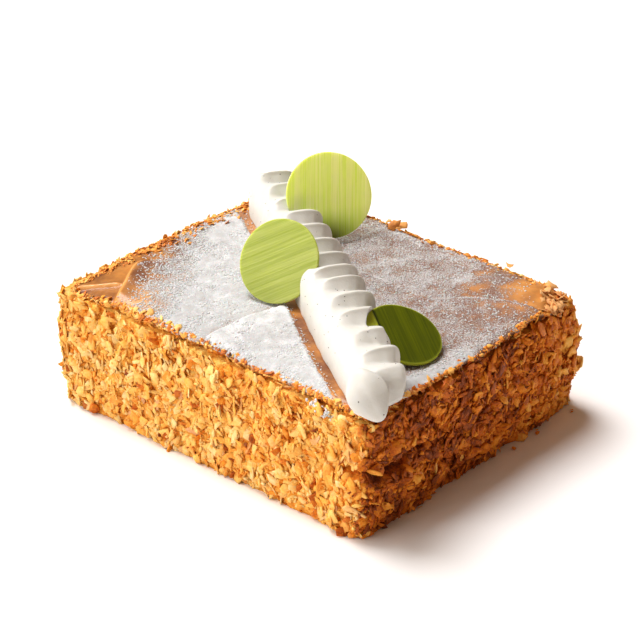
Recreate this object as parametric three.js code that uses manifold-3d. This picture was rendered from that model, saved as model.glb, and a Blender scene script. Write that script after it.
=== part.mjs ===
// Mille feuille slice: a block of puff pastry and cream coated in pastry flakes, a glazed puff sheet
// on top, a rope of ruffled cream piped corner to corner over it, and three thin green discs set in
// the cream. X runs along the long side, Y to the back, Z up; the slice stands on Z = 0.
import * as THREE from 'three';
import { mergeVertices } from 'three/addons/utils/BufferGeometryUtils.js';
import Module from 'manifold-3d';

const wasm = await Module();
wasm.setup();

const { clamp, lerp, smoothstep } = THREE.MathUtils;

// Driving dimensions, in millimetres.
const HEIGHT = 46;
const SHEET_LENGTH = 140;
const SHEET_DEPTH = 111;
const SHEET_THICKNESS = 4.5;
const SHEET_CORNER = 5;
const GAP = 0.3;

// Slow waves that puff pastry keeps after baking: height, then length over the slice.
const SKIN_DROP = 0.8;
const LONG_WAVE = 0.45;
const LONG_WAVE_X = 16;
const LONG_WAVE_Y = 14;
const SHORT_WAVE = 0.25;
const SHORT_WAVE_SLANT = 1.7;
const SHORT_WAVE_LENGTH = 9;

// The sheet's rim rolls down, its left front corner sags and its long sides close up to the back.
const RIM_ROLL = 1.4;
const RIM_WIDTH = 5;
const RIM_RIPPLE = 0.5;
const RIPPLE_LENGTH = 4.6;
const RIPPLE_TIGHTNESS = 13;
const CORNER_SAG = 3;
const CORNER_SAG_REACH = 15;
const BACK_TAPER = 1.8;

// A lifted flap of the sheet in front: its free edge runs in from the front rim and bends to the
// right, and its right side drops to a bare strip beside the cream.
const FLAP_FRONT_X = -4.2;
const FLAP_BACK_X = 0.3;
const FLAP_BEND = [-40, -18];
const FLAP_RISE = 1.2;
const FLAP_FADE = 26;
const FLAP_STEP = 1;
const STRIP_EDGE = -15;

// A curved crease on the right, its near side standing proud of its far side.
const CREASE_START = new THREE.Vector2(34, 18);
const CREASE_RISE = 0.9;
const CREASE_REACH = 20;
const CREASE_FADE = 9;
const CREASE_BEND = 13;
const CREASE_RUN_IN = 8;
const CREASE_LIP = 1.5;
const CREASE_DIP = -0.6;

// Crumb coat: it swells below the sheet and spreads at the foot.
const COAT_PROUD = 1.2;
const COAT_BULGE = 1.6;
const COAT_LEFT = 1.4;
const COAT_LEFT_REACH = 60;
const FOOT_TUCK = 1.6;
const FOOT_SPREAD = 2.6;
const FOOT_CURVE = 1.5;
const CRUMB_RELIEF = 0.8;
const COARSE_LUMP = 5.1;
const FINE_LUMP = 3;

// Half-way up the front right corner the coat has split: the lower half stands out as a ledge.
const LEDGE_HEIGHT = 21;
const LEDGE_PROUD = 1.8;
const LEDGE_START = 8;
const LEDGE_REACH = 34;

// Cream rope: its axis runs from the back left corner to the front right one. Along is measured on
// the axis, across at a right angle to it, both from the middle of the slice.
const ROPE_AXIS = new THREE.Vector2(0.841, -0.541);
const ROPE_CREST = 15;
const ROPE_LEFT = -10.5;
const ROPE_LEFT_FRONT = -13.2;
const ROPE_RIGHT = 10.2;
const ROPE_RIGHT_FRONT = 5;
const ROPE_START = -79;
const FIRST_FOLD = -66;
const FOLD_PITCHES = [11.7, 11.7, 11.5, 11.4, 12.4, 11.7, 9.9, 8.4, 11.6, 11.6, 14.8, 13.1, 11.6];
const FOLD_DEPTH = 0.29;
const FOLD_LEFT_SWEEP = 6;
const FOLD_RIGHT_SWEEP = -2;
const GROOVE = 0.34;

// The last folds round off: their feet draw back and the right one draws in.
const ROUNDING_START = 76;
const ROUNDING_REACH = 10;
const FOOT_BACK = 5;
const FOOT_IN = 0.45;

// Last petal of cream, lying over the left half of the last fold with its tip at the slice's corner.
const PETAL_ROOT = new THREE.Vector3(83.5, -10.5, 14);
const PETAL_TIP = new THREE.Vector3(94.5, -7.5, 1.2);
const PETAL_WIDTH = 14;
const PETAL_THICKNESS = 8;
const PETAL_NARROWING = 0.28;

// Green discs: thin rounds of coloured chocolate. The foot is the place under a disc's lowest point,
// lift is how far above the sheet the cream holds that point, and the cream that stood in front of a
// disc is pressed away as far along the rope as bareTo.
const DISC_THICKNESS = 1.2;
const DISC_SIDES = 48;
const PRESSED_DEPTH = 14;
const DISCS = [
  {
    name: 'green_disc_back', diameter: 31.4, foot: [-20, 28.8], lift: 1.6,
    facing: [0.7, -0.52, 0.49], bareTo: -32.5,
  },
  {
    name: 'green_disc_left', diameter: 29.8, foot: [-5.1, -22.3], lift: 0.5,
    facing: [0.172, -0.803, 0.571], bareTo: 6,
  },
  {
    name: 'green_disc_right', diameter: 27, foot: [62.8, -15.7], lift: 0.5,
    facing: [0.396, 0.007, 0.918], bareTo: 60,
  },
];

const ropeAcross = new THREE.Vector2(-ROPE_AXIS.y, ROPE_AXIS.x);

// ---- Height of the pastry sheet -------------------------------------------------------------------

function puffWaves(x, y) {
  const long = LONG_WAVE * Math.sin(x / LONG_WAVE_X + 0.6) * Math.cos(y / LONG_WAVE_Y);
  const slanted = x + SHORT_WAVE_SLANT * y;
  const short = SHORT_WAVE * Math.sin(slanted / SHORT_WAVE_LENGTH + 1.1);
  return long + short;
}

function flapRise(x, y) {
  const edge = lerp(FLAP_FRONT_X, FLAP_BACK_X, smoothstep(y, ...FLAP_BEND));
  const across = x * ropeAcross.x + y * ropeAcross.y;
  const step = smoothstep(x, edge - FLAP_STEP, edge + FLAP_STEP);
  const fade = 1 - smoothstep(x, edge, edge + FLAP_FADE);
  const reach = 1 - smoothstep(across, STRIP_EDGE - 2 * FLAP_STEP, STRIP_EDGE);
  return FLAP_RISE * step * fade * reach;
}

function creaseRise(x, y) {
  const along = x - CREASE_START.x;
  if (along < 0) {
    return 0;
  }
  const creaseY = CREASE_START.y + CREASE_REACH * (1 - Math.exp(-along / CREASE_BEND));
  const side = creaseY - y;
  const fade = Math.exp(-Math.abs(side) / CREASE_FADE);
  const start = smoothstep(along, 0, CREASE_RUN_IN);
  return CREASE_RISE * start * fade * clamp(side / CREASE_LIP, CREASE_DIP, 1);
}

function cornerSag(x, y) {
  const away = Math.hypot(x + SHEET_LENGTH / 2, y + SHEET_DEPTH / 2);
  return CORNER_SAG * Math.exp(-((away / CORNER_SAG_REACH) ** 2));
}

// Top of the sheet away from its rim.
function sheetTop(x, y) {
  const level = HEIGHT - SKIN_DROP;
  return level + puffWaves(x, y) + flapRise(x, y) + creaseRise(x, y) - cornerSag(x, y);
}

// ---- Closed bodies --------------------------------------------------------------------------------

// A body from rows of points: row after row is joined all the way round, and both ends are closed
// with a fan to an end point.
function ringBody(rings, firstEnd, lastEnd) {
  const positions = [];
  const count = rings[0].length;
  const triangle = (a, b, c) => positions.push(...a, ...b, ...c);
  for (let row = 0; row + 1 < rings.length; row += 1) {
    for (let i = 0; i < count; i += 1) {
      const next = (i + 1) % count;
      const low = rings[row];
      const high = rings[row + 1];
      triangle(low[i], low[next], high[next]);
      triangle(low[i], high[next], high[i]);
    }
  }
  for (let i = 0; i < count; i += 1) {
    const next = (i + 1) % count;
    triangle(firstEnd, rings[0][next], rings[0][i]);
    triangle(lastEnd, rings[rings.length - 1][i], rings[rings.length - 1][next]);
  }
  return bodyGeometry(positions);
}

function bodyGeometry(positions) {
  const geometry = new THREE.BufferGeometry();
  geometry.setAttribute('position', new THREE.Float32BufferAttribute(positions, 3));
  geometry.computeVertexNormals();
  return geometry;
}

function toSolid(geometry) {
  const bare = geometry.clone();
  bare.deleteAttribute('normal');
  bare.deleteAttribute('uv');
  const merged = mergeVertices(bare, 1e-4);
  return new wasm.Manifold(new wasm.Mesh({
    numProp: 3,
    vertProperties: new Float32Array(merged.attributes.position.array),
    triVerts: new Uint32Array(merged.index.array),
  }));
}

function toGeometry(solid) {
  const mesh = solid.getMesh();
  const geometry = new THREE.BufferGeometry();
  geometry.setAttribute('position', new THREE.BufferAttribute(mesh.vertProperties, 3));
  geometry.setIndex(new THREE.BufferAttribute(mesh.triVerts, 1));
  const loose = geometry.toNonIndexed();
  loose.computeVertexNormals();
  return loose;
}

function named(name, geometry, color, roughness) {
  const material = new THREE.MeshStandardMaterial({ color, roughness, metalness: 0 });
  const mesh = new THREE.Mesh(geometry, material);
  mesh.name = name;
  return mesh;
}

// ---- Crumb-coated block ---------------------------------------------------------------------------

const COAT_TOP = HEIGHT - SHEET_THICKNESS - GAP;
const COAT_LEVELS = 11;
const OUTLINE_STEPS = { long: 24, short: 18, corner: 4 };

// Points of a rounded rectangle, counter-clockwise from above, each with the way it faces.
function roundedOutline(halfX, halfY, radius) {
  const corners = [
    { x: 1, y: -1, from: -Math.PI / 2, steps: OUTLINE_STEPS.short },
    { x: 1, y: 1, from: 0, steps: OUTLINE_STEPS.long },
    { x: -1, y: 1, from: Math.PI / 2, steps: OUTLINE_STEPS.short },
    { x: -1, y: -1, from: Math.PI, steps: OUTLINE_STEPS.long },
  ];
  const points = [];
  corners.forEach((corner, index) => {
    const centre = new THREE.Vector2(corner.x * (halfX - radius), corner.y * (halfY - radius));
    for (let i = 0; i <= OUTLINE_STEPS.corner; i += 1) {
      const angle = corner.from + (Math.PI / 2) * (i / OUTLINE_STEPS.corner);
      const facing = new THREE.Vector2(Math.cos(angle), Math.sin(angle));
      points.push({ at: centre.clone().addScaledVector(facing, radius), facing });
    }
    const after = corners[(index + 1) % corners.length];
    const start = points[points.length - 1];
    const end = new THREE.Vector2(after.x * (halfX - radius), after.y * (halfY - radius))
      .addScaledVector(start.facing, radius);
    for (let i = 1; i < corner.steps; i += 1) {
      points.push({ at: start.at.clone().lerp(end, i / corner.steps), facing: start.facing });
    }
  });
  return points;
}

// Lumps that the pressed-on flakes leave in the coat.
function crumbRelief(x, y, z) {
  const coarse = Math.sin((x + z) / COARSE_LUMP) * Math.cos((y - z) / COARSE_LUMP);
  const fine = Math.sin((x - y + z) / FINE_LUMP);
  return CRUMB_RELIEF * lerp(coarse, fine, 1 / 3);
}

function ledge(x, y, z) {
  const away = Math.hypot(x - SHEET_LENGTH / 2, y + SHEET_DEPTH / 2);
  const near = 1 - smoothstep(away, LEDGE_START, LEDGE_REACH);
  const below = 1 - smoothstep(z, LEDGE_HEIGHT - 2, LEDGE_HEIGHT + 1);
  return LEDGE_PROUD * near * (below - 0.5);
}

function makeBlock() {
  const rings = [];
  for (let level = 0; level <= COAT_LEVELS; level += 1) {
    const up = level / COAT_LEVELS;
    const z = COAT_TOP * up;
    const swell = COAT_PROUD + COAT_BULGE * Math.sin(Math.PI * up);
    const foot = (1 - up) ** FOOT_CURVE;
    const halfX = SHEET_LENGTH / 2 + swell - FOOT_TUCK * foot;
    const halfY = SHEET_DEPTH / 2 + swell + FOOT_SPREAD * foot;
    const radius = SHEET_CORNER + (FOOT_SPREAD * foot) / 2;
    rings.push(roundedOutline(halfX, halfY, radius).map(({ at, facing }) => {
      const out = crumbRelief(at.x, at.y, z) + ledge(at.x, at.y, z);
      const left = COAT_LEFT * clamp(-at.x / COAT_LEFT_REACH, 0, 1);
      return [(at.x + facing.x * out - left) * backTaper(at.y), at.y + facing.y * out, z];
    }));
  }
  return ringBody(rings, [0, 0, 0], [0, 0, COAT_TOP]);
}

// How much of its length the slice keeps at a distance to the back: all of it along the front.
function backTaper(y) {
  return 1 - (BACK_TAPER / SHEET_LENGTH) * (1 + y / (SHEET_DEPTH / 2));
}

// ---- Top pastry sheet -----------------------------------------------------------------------------

const SHEET_COLUMNS = 32;
const SHEET_ROWS = 26;
const SHEET_BOTTOM = HEIGHT - SHEET_THICKNESS;

// A point of the square from -1 to 1, moved into the rounded, back-tapered outline of the sheet.
function sheetPlace(u, v) {
  const half = new THREE.Vector2(SHEET_LENGTH / 2, SHEET_DEPTH / 2);
  const inX = half.x - SHEET_CORNER;
  const inY = half.y - SHEET_CORNER;
  const pastX = Math.max(Math.abs(u) * half.x - inX, 0);
  const pastY = Math.max(Math.abs(v) * half.y - inY, 0);
  let x = u * half.x;
  let y = v * half.y;
  if (pastX > 0 && pastY > 0) {
    const round = Math.max(pastX, pastY) / Math.hypot(pastX, pastY);
    x = Math.sign(u) * (inX + pastX * round);
    y = Math.sign(v) * (inY + pastY * round);
  }
  const rippleX = RIM_RIPPLE * Math.sin(y / RIPPLE_LENGTH) * u ** RIPPLE_TIGHTNESS;
  const rippleY = RIM_RIPPLE * Math.sin(x / RIPPLE_LENGTH) * v ** RIPPLE_TIGHTNESS;
  return [x * backTaper(y) + rippleX, y + rippleY];
}

// How far a point of the square is down the rolled rim: 1 at the rim, 0 inside it.
function rimShare(u, v) {
  const edge = Math.min((1 - Math.abs(u)) * SHEET_LENGTH / 2, (1 - Math.abs(v)) * SHEET_DEPTH / 2);
  return (1 - clamp(edge / RIM_WIDTH, 0, 1)) ** 2;
}

// Grid lines from -1 to 1, closer together towards the rim.
function gridShare(share) {
  const quarter = Math.PI * 0.4;
  return Math.sin(quarter * (2 * share - 1)) / Math.sin(quarter);
}

function makeSheet() {
  const place = (column, row) => {
    const u = gridShare(column / SHEET_COLUMNS);
    const v = gridShare(row / SHEET_ROWS);
    return [...sheetPlace(u, v), RIM_ROLL * rimShare(u, v)];
  };
  const top = (column, row) => {
    const [x, y, roll] = place(column, row);
    return [x, y, sheetTop(x, y) - roll];
  };
  const low = (column, row) => {
    const [x, y] = place(column, row);
    return [x, y, SHEET_BOTTOM];
  };
  const positions = [];
  const quad = (a, b, c, d) => positions.push(...a, ...b, ...c, ...a, ...c, ...d);
  const right = SHEET_COLUMNS;
  const back = SHEET_ROWS;
  for (let i = 0; i < right; i += 1) {
    const next = i + 1;
    for (let j = 0; j < back; j += 1) {
      quad(top(i, j), top(next, j), top(next, j + 1), top(i, j + 1));
      quad(low(i, j), low(i, j + 1), low(next, j + 1), low(next, j));
    }
    quad(low(i, 0), low(next, 0), top(next, 0), top(i, 0));
    quad(low(next, back), low(i, back), top(i, back), top(next, back));
  }
  for (let j = 0; j < back; j += 1) {
    const next = j + 1;
    quad(low(right, j), low(right, next), top(right, next), top(right, j));
    quad(low(0, next), low(0, j), top(0, j), top(0, next));
  }
  return bodyGeometry(positions);
}

// ---- Cream rope -----------------------------------------------------------------------------------

const ARCH_STEPS = 17;
const BASE_STEPS = 5;
const SHORTEST_EDGE = 0.05;

// From rope measures (along, across, height over the sheet) to a point of the slice.
function ropePoint(along, across, rise) {
  const x = along * ROPE_AXIS.x + across * ropeAcross.x;
  const y = along * ROPE_AXIS.y + across * ropeAcross.y;
  return [x, y, sheetTop(x, y) + GAP + rise];
}

// One section of the rope. Dip is 0 at a fold's crest and 1 in the groove before the next fold;
// size shrinks the whole section at the rope's two ends.
function ropeSection(along, dip, size) {
  const left = lerp(ROPE_LEFT, ROPE_LEFT_FRONT, smoothstep(along, -40, 60));
  const right = lerp(ROPE_RIGHT, ROPE_RIGHT_FRONT, smoothstep(along, 52, 86));
  const end = smoothstep(along, ROUNDING_START, ROUNDING_START + ROUNDING_REACH);
  const points = [];
  for (let i = 0; i <= ARCH_STEPS; i += 1) {
    const t = i / ARCH_STEPS;
    const angle = Math.PI * (1 - t);
    const side = Math.abs(Math.cos(angle));
    const lift = Math.max(Math.sin(angle), 0);
    const onRight = t > 0.5;
    const rise = ROPE_CREST * lift ** (onRight ? 0.45 : 0.6);
    const tuck = end * (1 - rise / ROPE_CREST) ** 1.5;
    const reach = onRight ? right * side ** 0.5 * (1 - FOOT_IN * tuck) : left * side ** 0.7;
    const depth = FOLD_DEPTH * lerp(0.05, 1, smoothstep(t, 0.3, 0.56));
    const shrink = (1 - depth * dip) * size;
    const sweep = lerp(FOLD_LEFT_SWEEP, 0, smoothstep(t, 0, 0.5));
    const back = FOLD_RIGHT_SWEEP * smoothstep(t, 0.6, 1);
    const place = along + (sweep + back) * size - FOOT_BACK * tuck;
    points.push(ropePoint(place, reach * shrink, rise * shrink));
  }
  const [first, last] = [points[0], points[points.length - 1]];
  for (let i = 1; i < BASE_STEPS; i += 1) {
    const share = i / BASE_STEPS;
    const x = lerp(last[0], first[0], share);
    const y = lerp(last[1], first[1], share);
    points.push([x, y, sheetTop(x, y) + GAP]);
  }
  return points.reverse();
}

function makeRope() {
  const rings = [];
  for (const [step, size] of [[0, 0.35], [3, 0.7], [7, 0.9]]) {
    rings.push(ropeSection(ROPE_START + step, 0.5, size));
  }
  let along = FIRST_FOLD;
  for (const pitch of FOLD_PITCHES) {
    for (const phase of [0, GROOVE / 2, GROOVE, (GROOVE + 1) / 2]) {
      const dip = smoothstep(phase, 0, GROOVE) * (1 - smoothstep(phase, GROOVE, 1));
      rings.push(ropeSection(along + pitch * phase, dip, 1));
    }
    along += pitch;
  }
  for (const [step, size] of [[0, 1], [1.8, 0.94], [3.6, 0.77]]) {
    rings.push(ropeSection(along + step, 0, size));
  }
  const startPoint = ropePoint(ROPE_START - 1, 0, 2);
  const endPoint = ropePoint(along + 4.2, -1, 6);
  return ringBody(rings, startPoint, endPoint);
}

// The petal is a flattened ball, drawn out to a narrow tip.
function makePetal() {
  const root = new THREE.Vector3(...ropePoint(PETAL_ROOT.x, PETAL_ROOT.y, PETAL_ROOT.z));
  const tip = new THREE.Vector3(...ropePoint(PETAL_TIP.x, PETAL_TIP.y, PETAL_TIP.z));
  const length = root.distanceTo(tip);
  const down = tip.clone().sub(root).normalize();
  const acrossFace = new THREE.Vector3(ropeAcross.x, ropeAcross.y, 0.5);
  const width = acrossFace.addScaledVector(down, -acrossFace.dot(down)).normalize();
  const out = down.clone().cross(width);
  const geometry = new THREE.SphereGeometry(1, 18, 14);
  const position = geometry.attributes.position;
  const point = new THREE.Vector3();
  for (let i = 0; i < position.count; i += 1) {
    point.fromBufferAttribute(position, i);
    const narrow = 1 - PETAL_NARROWING * smoothstep(-point.y, 0, 1);
    const place = root.clone().lerp(tip, 0.5)
      .addScaledVector(down, -point.y * length / 2)
      .addScaledVector(width, point.x * narrow * PETAL_WIDTH / 2)
      .addScaledVector(out, point.z * narrow * PETAL_THICKNESS / 2);
    position.setXYZ(i, place.x, place.y, place.z);
  }
  geometry.computeVertexNormals();
  return geometry;
}

// ---- Green discs ----------------------------------------------------------------------------------

function discCentre({ diameter, foot, lift, facing }) {
  const normal = new THREE.Vector3(...facing).normalize();
  const upslope = new THREE.Vector3(0, 0, 1).addScaledVector(normal, -normal.z).normalize();
  const low = new THREE.Vector3(foot[0], foot[1], sheetTop(...foot) + lift);
  low.z += (DISC_THICKNESS / 2) * normal.z;
  return low.addScaledVector(upslope, diameter / 2);
}

function placeDisc(object, disc) {
  const normal = new THREE.Vector3(...disc.facing).normalize();
  object.position.copy(discCentre(disc));
  object.quaternion.setFromUnitVectors(new THREE.Vector3(0, 1, 0), normal);
  object.updateMatrix();
  return object;
}

function discGeometry(diameter, thickness) {
  return new THREE.CylinderGeometry(diameter / 2, diameter / 2, thickness, DISC_SIDES);
}

function makeDisc(disc) {
  const mesh = named(disc.name, discGeometry(disc.diameter, DISC_THICKNESS), 0xa9bd3a, 0.45);
  return placeDisc(mesh, disc);
}

// The room that a disc takes in the cream with the gap all round, and the room in front of it.
function discRoom(disc) {
  const slot = discGeometry(disc.diameter + 2 * GAP, DISC_THICKNESS + 2 * GAP);
  const front = discGeometry(disc.diameter + 2 * GAP, PRESSED_DEPTH)
    .translate(0, PRESSED_DEPTH / 2, 0);
  const { matrix } = placeDisc(new THREE.Object3D(), disc);
  const size = 2 * SHEET_LENGTH;
  const behindFold = new THREE.BoxGeometry(size, size, size)
    .translate(disc.bareTo - size / 2, 0, 0)
    .rotateZ(ROPE_AXIS.angle());
  const pressed = toSolid(front.applyMatrix4(matrix)).intersect(toSolid(behindFold));
  return toSolid(slot.applyMatrix4(matrix)).add(pressed);
}

// ---- The slice ------------------------------------------------------------------------------------

let cream = toSolid(makeRope()).add(toSolid(makePetal()));
for (const disc of DISCS) {
  cream = cream.subtract(discRoom(disc));
}

const slice = new THREE.Group();
slice.add(named('crumb_coated_block', makeBlock(), 0xd58a3a, 0.85));
slice.add(named('top_pastry_sheet', makeSheet(), 0xc98a58, 0.5));
slice.add(named('cream_rope', toGeometry(cream.simplify(SHORTEST_EDGE)), 0xf1ece2, 0.4));
for (const disc of DISCS) {
  slice.add(makeDisc(disc));
}

// The middle of the slice's footprint stands on the origin.
const box = new THREE.Box3().setFromObject(slice);
slice.position.set(-(box.min.x + box.max.x) / 2, -(box.min.y + box.max.y) / 2, -box.min.z);

export default slice;
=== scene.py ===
import math

import bmesh
import bpy
import numpy as np
from mathutils import Matrix, Vector, noise


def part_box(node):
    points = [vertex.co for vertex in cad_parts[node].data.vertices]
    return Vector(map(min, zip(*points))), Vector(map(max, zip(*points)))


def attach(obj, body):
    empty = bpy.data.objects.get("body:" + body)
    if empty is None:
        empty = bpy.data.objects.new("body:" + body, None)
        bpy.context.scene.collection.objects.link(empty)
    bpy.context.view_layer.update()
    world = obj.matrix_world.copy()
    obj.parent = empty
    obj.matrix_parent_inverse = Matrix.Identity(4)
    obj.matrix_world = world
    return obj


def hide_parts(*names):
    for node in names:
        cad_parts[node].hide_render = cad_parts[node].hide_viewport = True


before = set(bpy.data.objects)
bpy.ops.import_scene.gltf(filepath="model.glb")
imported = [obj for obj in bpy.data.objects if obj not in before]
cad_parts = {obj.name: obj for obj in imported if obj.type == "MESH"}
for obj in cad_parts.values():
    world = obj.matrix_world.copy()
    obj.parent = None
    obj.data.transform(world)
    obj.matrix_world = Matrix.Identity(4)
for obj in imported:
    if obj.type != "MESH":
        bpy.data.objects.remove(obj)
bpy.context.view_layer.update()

# ---- Bed of crumbs --------------------------------------------------------------------------------
# The block of puff pastry and cream is rolled in crushed pastry. This is the pressed bed of fine
# crumbs right on the block, lumpy, with deep gaps that the loose flakes bridge.

# Shapes are worked out in millimetres from the middle of the pastry sheet: X along the slice, Y to
# its back, Z up from the table.
MM = 0.001
sheet_low, sheet_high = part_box("top_pastry_sheet")
middle = np.array([(sheet_low.x + sheet_high.x) / 2, (sheet_low.y + sheet_high.y) / 2, 0.0])
LENGTH = 140.0
DEPTH = 111.0
HEIGHT = 46.0

BED_RELIEF = {12.0: 1.0, 5.2: 1.2, 2.6: 0.8, 1.2: 0.55}
SPLIT_HEIGHT = 22.5
SPLIT_DEPTH = 2.6
SPLIT_HALF_WIDTH = 1.5

CRUST_COLOURS = [
    (0.0, (1.0, 0.73, 0.31)),
    (0.18, (1.0, 0.60, 0.16)),
    (0.38, (1.0, 0.475, 0.07)),
    (0.60, (0.90, 0.28, 0.015)),
    (0.80, (0.57, 0.115, 0.003)),
    (1.0, (0.20, 0.035, 0.002)),
]


def smooth_step(value, low, high):
    share = np.clip((value - low) / (high - low), 0.0, 1.0)
    return share * share * (3.0 - 2.0 * share)


def lumps(points, size, shift):
    """Smooth noise, about -1 to 1, at each point; its lumps have the given size in millimetres."""
    return np.array([noise.noise(p) for p in (points / size + shift).tolist()])


def vertex_places(mesh):
    places = np.empty(len(mesh.vertices) * 3)
    mesh.vertices.foreach_get("co", places)
    return (places.reshape(-1, 3) - middle) / MM


def move_vertices(mesh, places):
    mesh.vertices.foreach_set("co", (places * MM + middle).astype(np.float32).ravel())
    mesh.update()


def write_attribute(mesh, name, values):
    attribute = mesh.attributes.new(name, "FLOAT", "POINT")
    attribute.data.foreach_set("value", np.asarray(values, dtype=np.float32))


def add_piece(name, mesh_edit):
    """Turns a finished bmesh into a piece of the slice."""
    mesh = bpy.data.meshes.new(name)
    mesh_edit.to_mesh(mesh)
    mesh_edit.free()
    mesh.polygons.foreach_set("use_smooth", [True] * len(mesh.polygons))
    piece = bpy.data.objects.new(name, mesh)
    bpy.context.collection.objects.link(piece)
    return piece


def split_share(places):
    """1 inside the split that runs round the front right corner at half height, 0 away from it."""
    x, y, z = places.T
    away = np.hypot(x - LENGTH / 2, y + DEPTH / 2)
    reach = np.where(y + DEPTH / 2 > 4.0, 1.0, 1.6)
    near = 1.0 - smooth_step(away * reach, 12.0, 44.0)
    run = x + y
    wander = 1.3 * np.sin(run / 5.0) + 0.8 * np.sin(run / 1.9 + 1.0)
    return near * np.exp(-((z - SPLIT_HEIGHT - wander) / SPLIT_HALF_WIDTH) ** 2)


bed_edit = bmesh.new()
bed_edit.from_mesh(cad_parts["crumb_coated_block"].data)
bmesh.ops.remove_doubles(bed_edit, verts=bed_edit.verts, dist=0.01 * MM)
bmesh.ops.subdivide_edges(bed_edit, edges=bed_edit.edges, cuts=7, use_grid_fill=True)
bed = add_piece("crumb_bed", bed_edit)
places = vertex_places(bed.data)
normals = np.empty(len(places) * 3)
bed.data.vertices.foreach_get("normal", normals)
normals = normals.reshape(-1, 3)
sideways = normals.copy()
sideways[:, 2] = 0.0
reach = np.linalg.norm(sideways, axis=1)
sideways /= np.maximum(reach, 1e-6)[:, None]
on_side = smooth_step(reach, 0.5, 0.9)
# Lumps of several sizes push the sides in and out; the split cuts into them.
relief = np.zeros(len(places))
for size, height in BED_RELIEF.items():
    relief += height * lumps(places, size, shift=size)
split = split_share(places)
out = on_side * (relief - 0.3 - SPLIT_DEPTH * split)
move_vertices(bed.data, places + sideways * out[:, None])
# The bed is painted browner where its lumps sink in and inside the split, as painted shade of the
# hollows, and much browner on the right face, as painted shade of the side turned away from the lights;
# the golden patches are its own colour.
on_right = smooth_step(normals[:, 0], 0.3, 0.8)
golden = 0.2 * lumps(places, 9.0, 8.0) + 0.14 * lumps(places, 3.0, 5.0)
write_attribute(bed.data, "toast_and_painted_shading", 0.43 + golden - 0.12 * relief + 0.35 * split + 0.36 * on_right)


def new_material(name):
    material = bpy.data.materials.new(name)
    material.use_nodes = True
    tree = material.node_tree
    return material, tree.nodes, tree.links, tree.nodes["Principled BSDF"]


def add_ramp(nodes, stops):
    """A colour ramp from (place, colour) pairs."""
    ramp = nodes.new("ShaderNodeValToRGB")
    while len(ramp.color_ramp.elements) < len(stops):
        ramp.color_ramp.elements.new(0.5)
    for element, (place, colour) in zip(ramp.color_ramp.elements, stops):
        element.position = place
        element.color = (*colour, 1.0)
    return ramp


def add_noise(nodes, links, size, detail=3.0, roughness=0.5, vector=None):
    """Noise on object coordinates with features of the given size in metres."""
    texture = nodes.new("ShaderNodeTexNoise")
    texture.inputs["Scale"].default_value = 1.0 / size
    texture.inputs["Detail"].default_value = detail
    texture.inputs["Roughness"].default_value = roughness
    if vector is None:
        place = nodes.new("ShaderNodeTexCoord")
        vector = place.outputs["Object"]
    links.new(vector, texture.inputs["Vector"])
    return texture


def add_math(nodes, links, operation, first, second, clamp=False):
    node = nodes.new("ShaderNodeMath")
    node.operation = operation
    node.use_clamp = clamp
    for socket, value in zip(node.inputs, (first, second)):
        if isinstance(value, (int, float)):
            socket.default_value = value
        else:
            links.new(value, socket)
    return node.outputs[0]


def add_scaled(nodes, links, value, factor, offset):
    """value * factor + offset"""
    node = nodes.new("ShaderNodeMath")
    node.operation = "MULTIPLY_ADD"
    links.new(value, node.inputs[0])
    node.inputs[1].default_value = factor
    node.inputs[2].default_value = offset
    return node.outputs[0]


def add_attribute(nodes, name):
    node = nodes.new("ShaderNodeAttribute")
    node.attribute_name = name
    return node.outputs["Fac"]


def add_bump(nodes, links, height, distance):
    node = nodes.new("ShaderNodeBump")
    node.inputs["Distance"].default_value = distance
    links.new(height, node.inputs["Height"])
    return node.outputs["Normal"]


bed_material, nodes, links, shader = new_material("pressed_crumbs")
fine = add_noise(nodes, links, 1.3 * MM, detail=5.0, roughness=0.7)
toast_and_painted_shading = add_scaled(nodes, links, fine.outputs["Fac"], 0.9, -0.48)
toast_and_painted_shading = add_math(nodes, links, "ADD", toast_and_painted_shading, add_attribute(nodes, "toast_and_painted_shading"))
ramp = add_ramp(nodes, CRUST_COLOURS)
links.new(toast_and_painted_shading, ramp.inputs["Fac"])
links.new(ramp.outputs["Color"], shader.inputs["Base Color"])
links.new(add_bump(nodes, links, fine.outputs["Fac"], 0.9 * MM), shader.inputs["Normal"])
shader.inputs["Roughness"].default_value = 0.75
shader.inputs["Specular IOR Level"].default_value = 0.3
bed.data.materials.append(bed_material)
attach(bed, "root")
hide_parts("crumb_coated_block")

# ---- Glazed pastry sheet --------------------------------------------------------------------------
# The lid is a sheet of puff pastry with a thin, shiny caramel glaze. Its skin is blistered and folded
# at the left corner, lifted as a flap beside the cream and creased on the right; its rim is ragged.

SHEET_CORNER = 5.0
SHEET_BOTTOM = HEIGHT - 4.5
RIM_ROLL = 1.4
RIM_WIDTH = 5.0
BACK_TAPER = 1.8
SHEET_STEP = 0.6
FLAP_FRONT_X = -4.2
FLAP_BACK_X = 0.3
FLAP_RISE = 1.2
FLAP_FADE = 26.0
STRIP_EDGE = -15.0
CREASE_START = (34.0, 18.0)
CREASE_RISE = 0.9
CREASE_REACH = 20.0
CREASE_FADE = 9.0
CORNER_SAG = 3.0
CORNER_SAG_REACH = 15.0
ROPE_AXIS = (0.841, -0.541)
BLISTER_EDGE = ((-58.5, -35.0), (-46.0, -55.5))
BLISTER_RISE = 1.8
LEAF_EDGE = ((-66.0, -53.5), (-54.0, -45.0))
LEAF_RISE = 1.2
CHIP_CORNER = (73.0, 54.0)
CHIP_REACHES = (12.6, 8.4)
CHIP_STEP = 1.3
SIDE_LEAVES = [(0.35, -0.1), (0.5, 0.9), (0.8, 0.2), (0.9, 1.0), (1.1, 0.3)]


def blend_between(low, high, share):
    return low + (high - low) * share


def along_rope(x, y):
    return x * ROPE_AXIS[0] + y * ROPE_AXIS[1]


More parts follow.
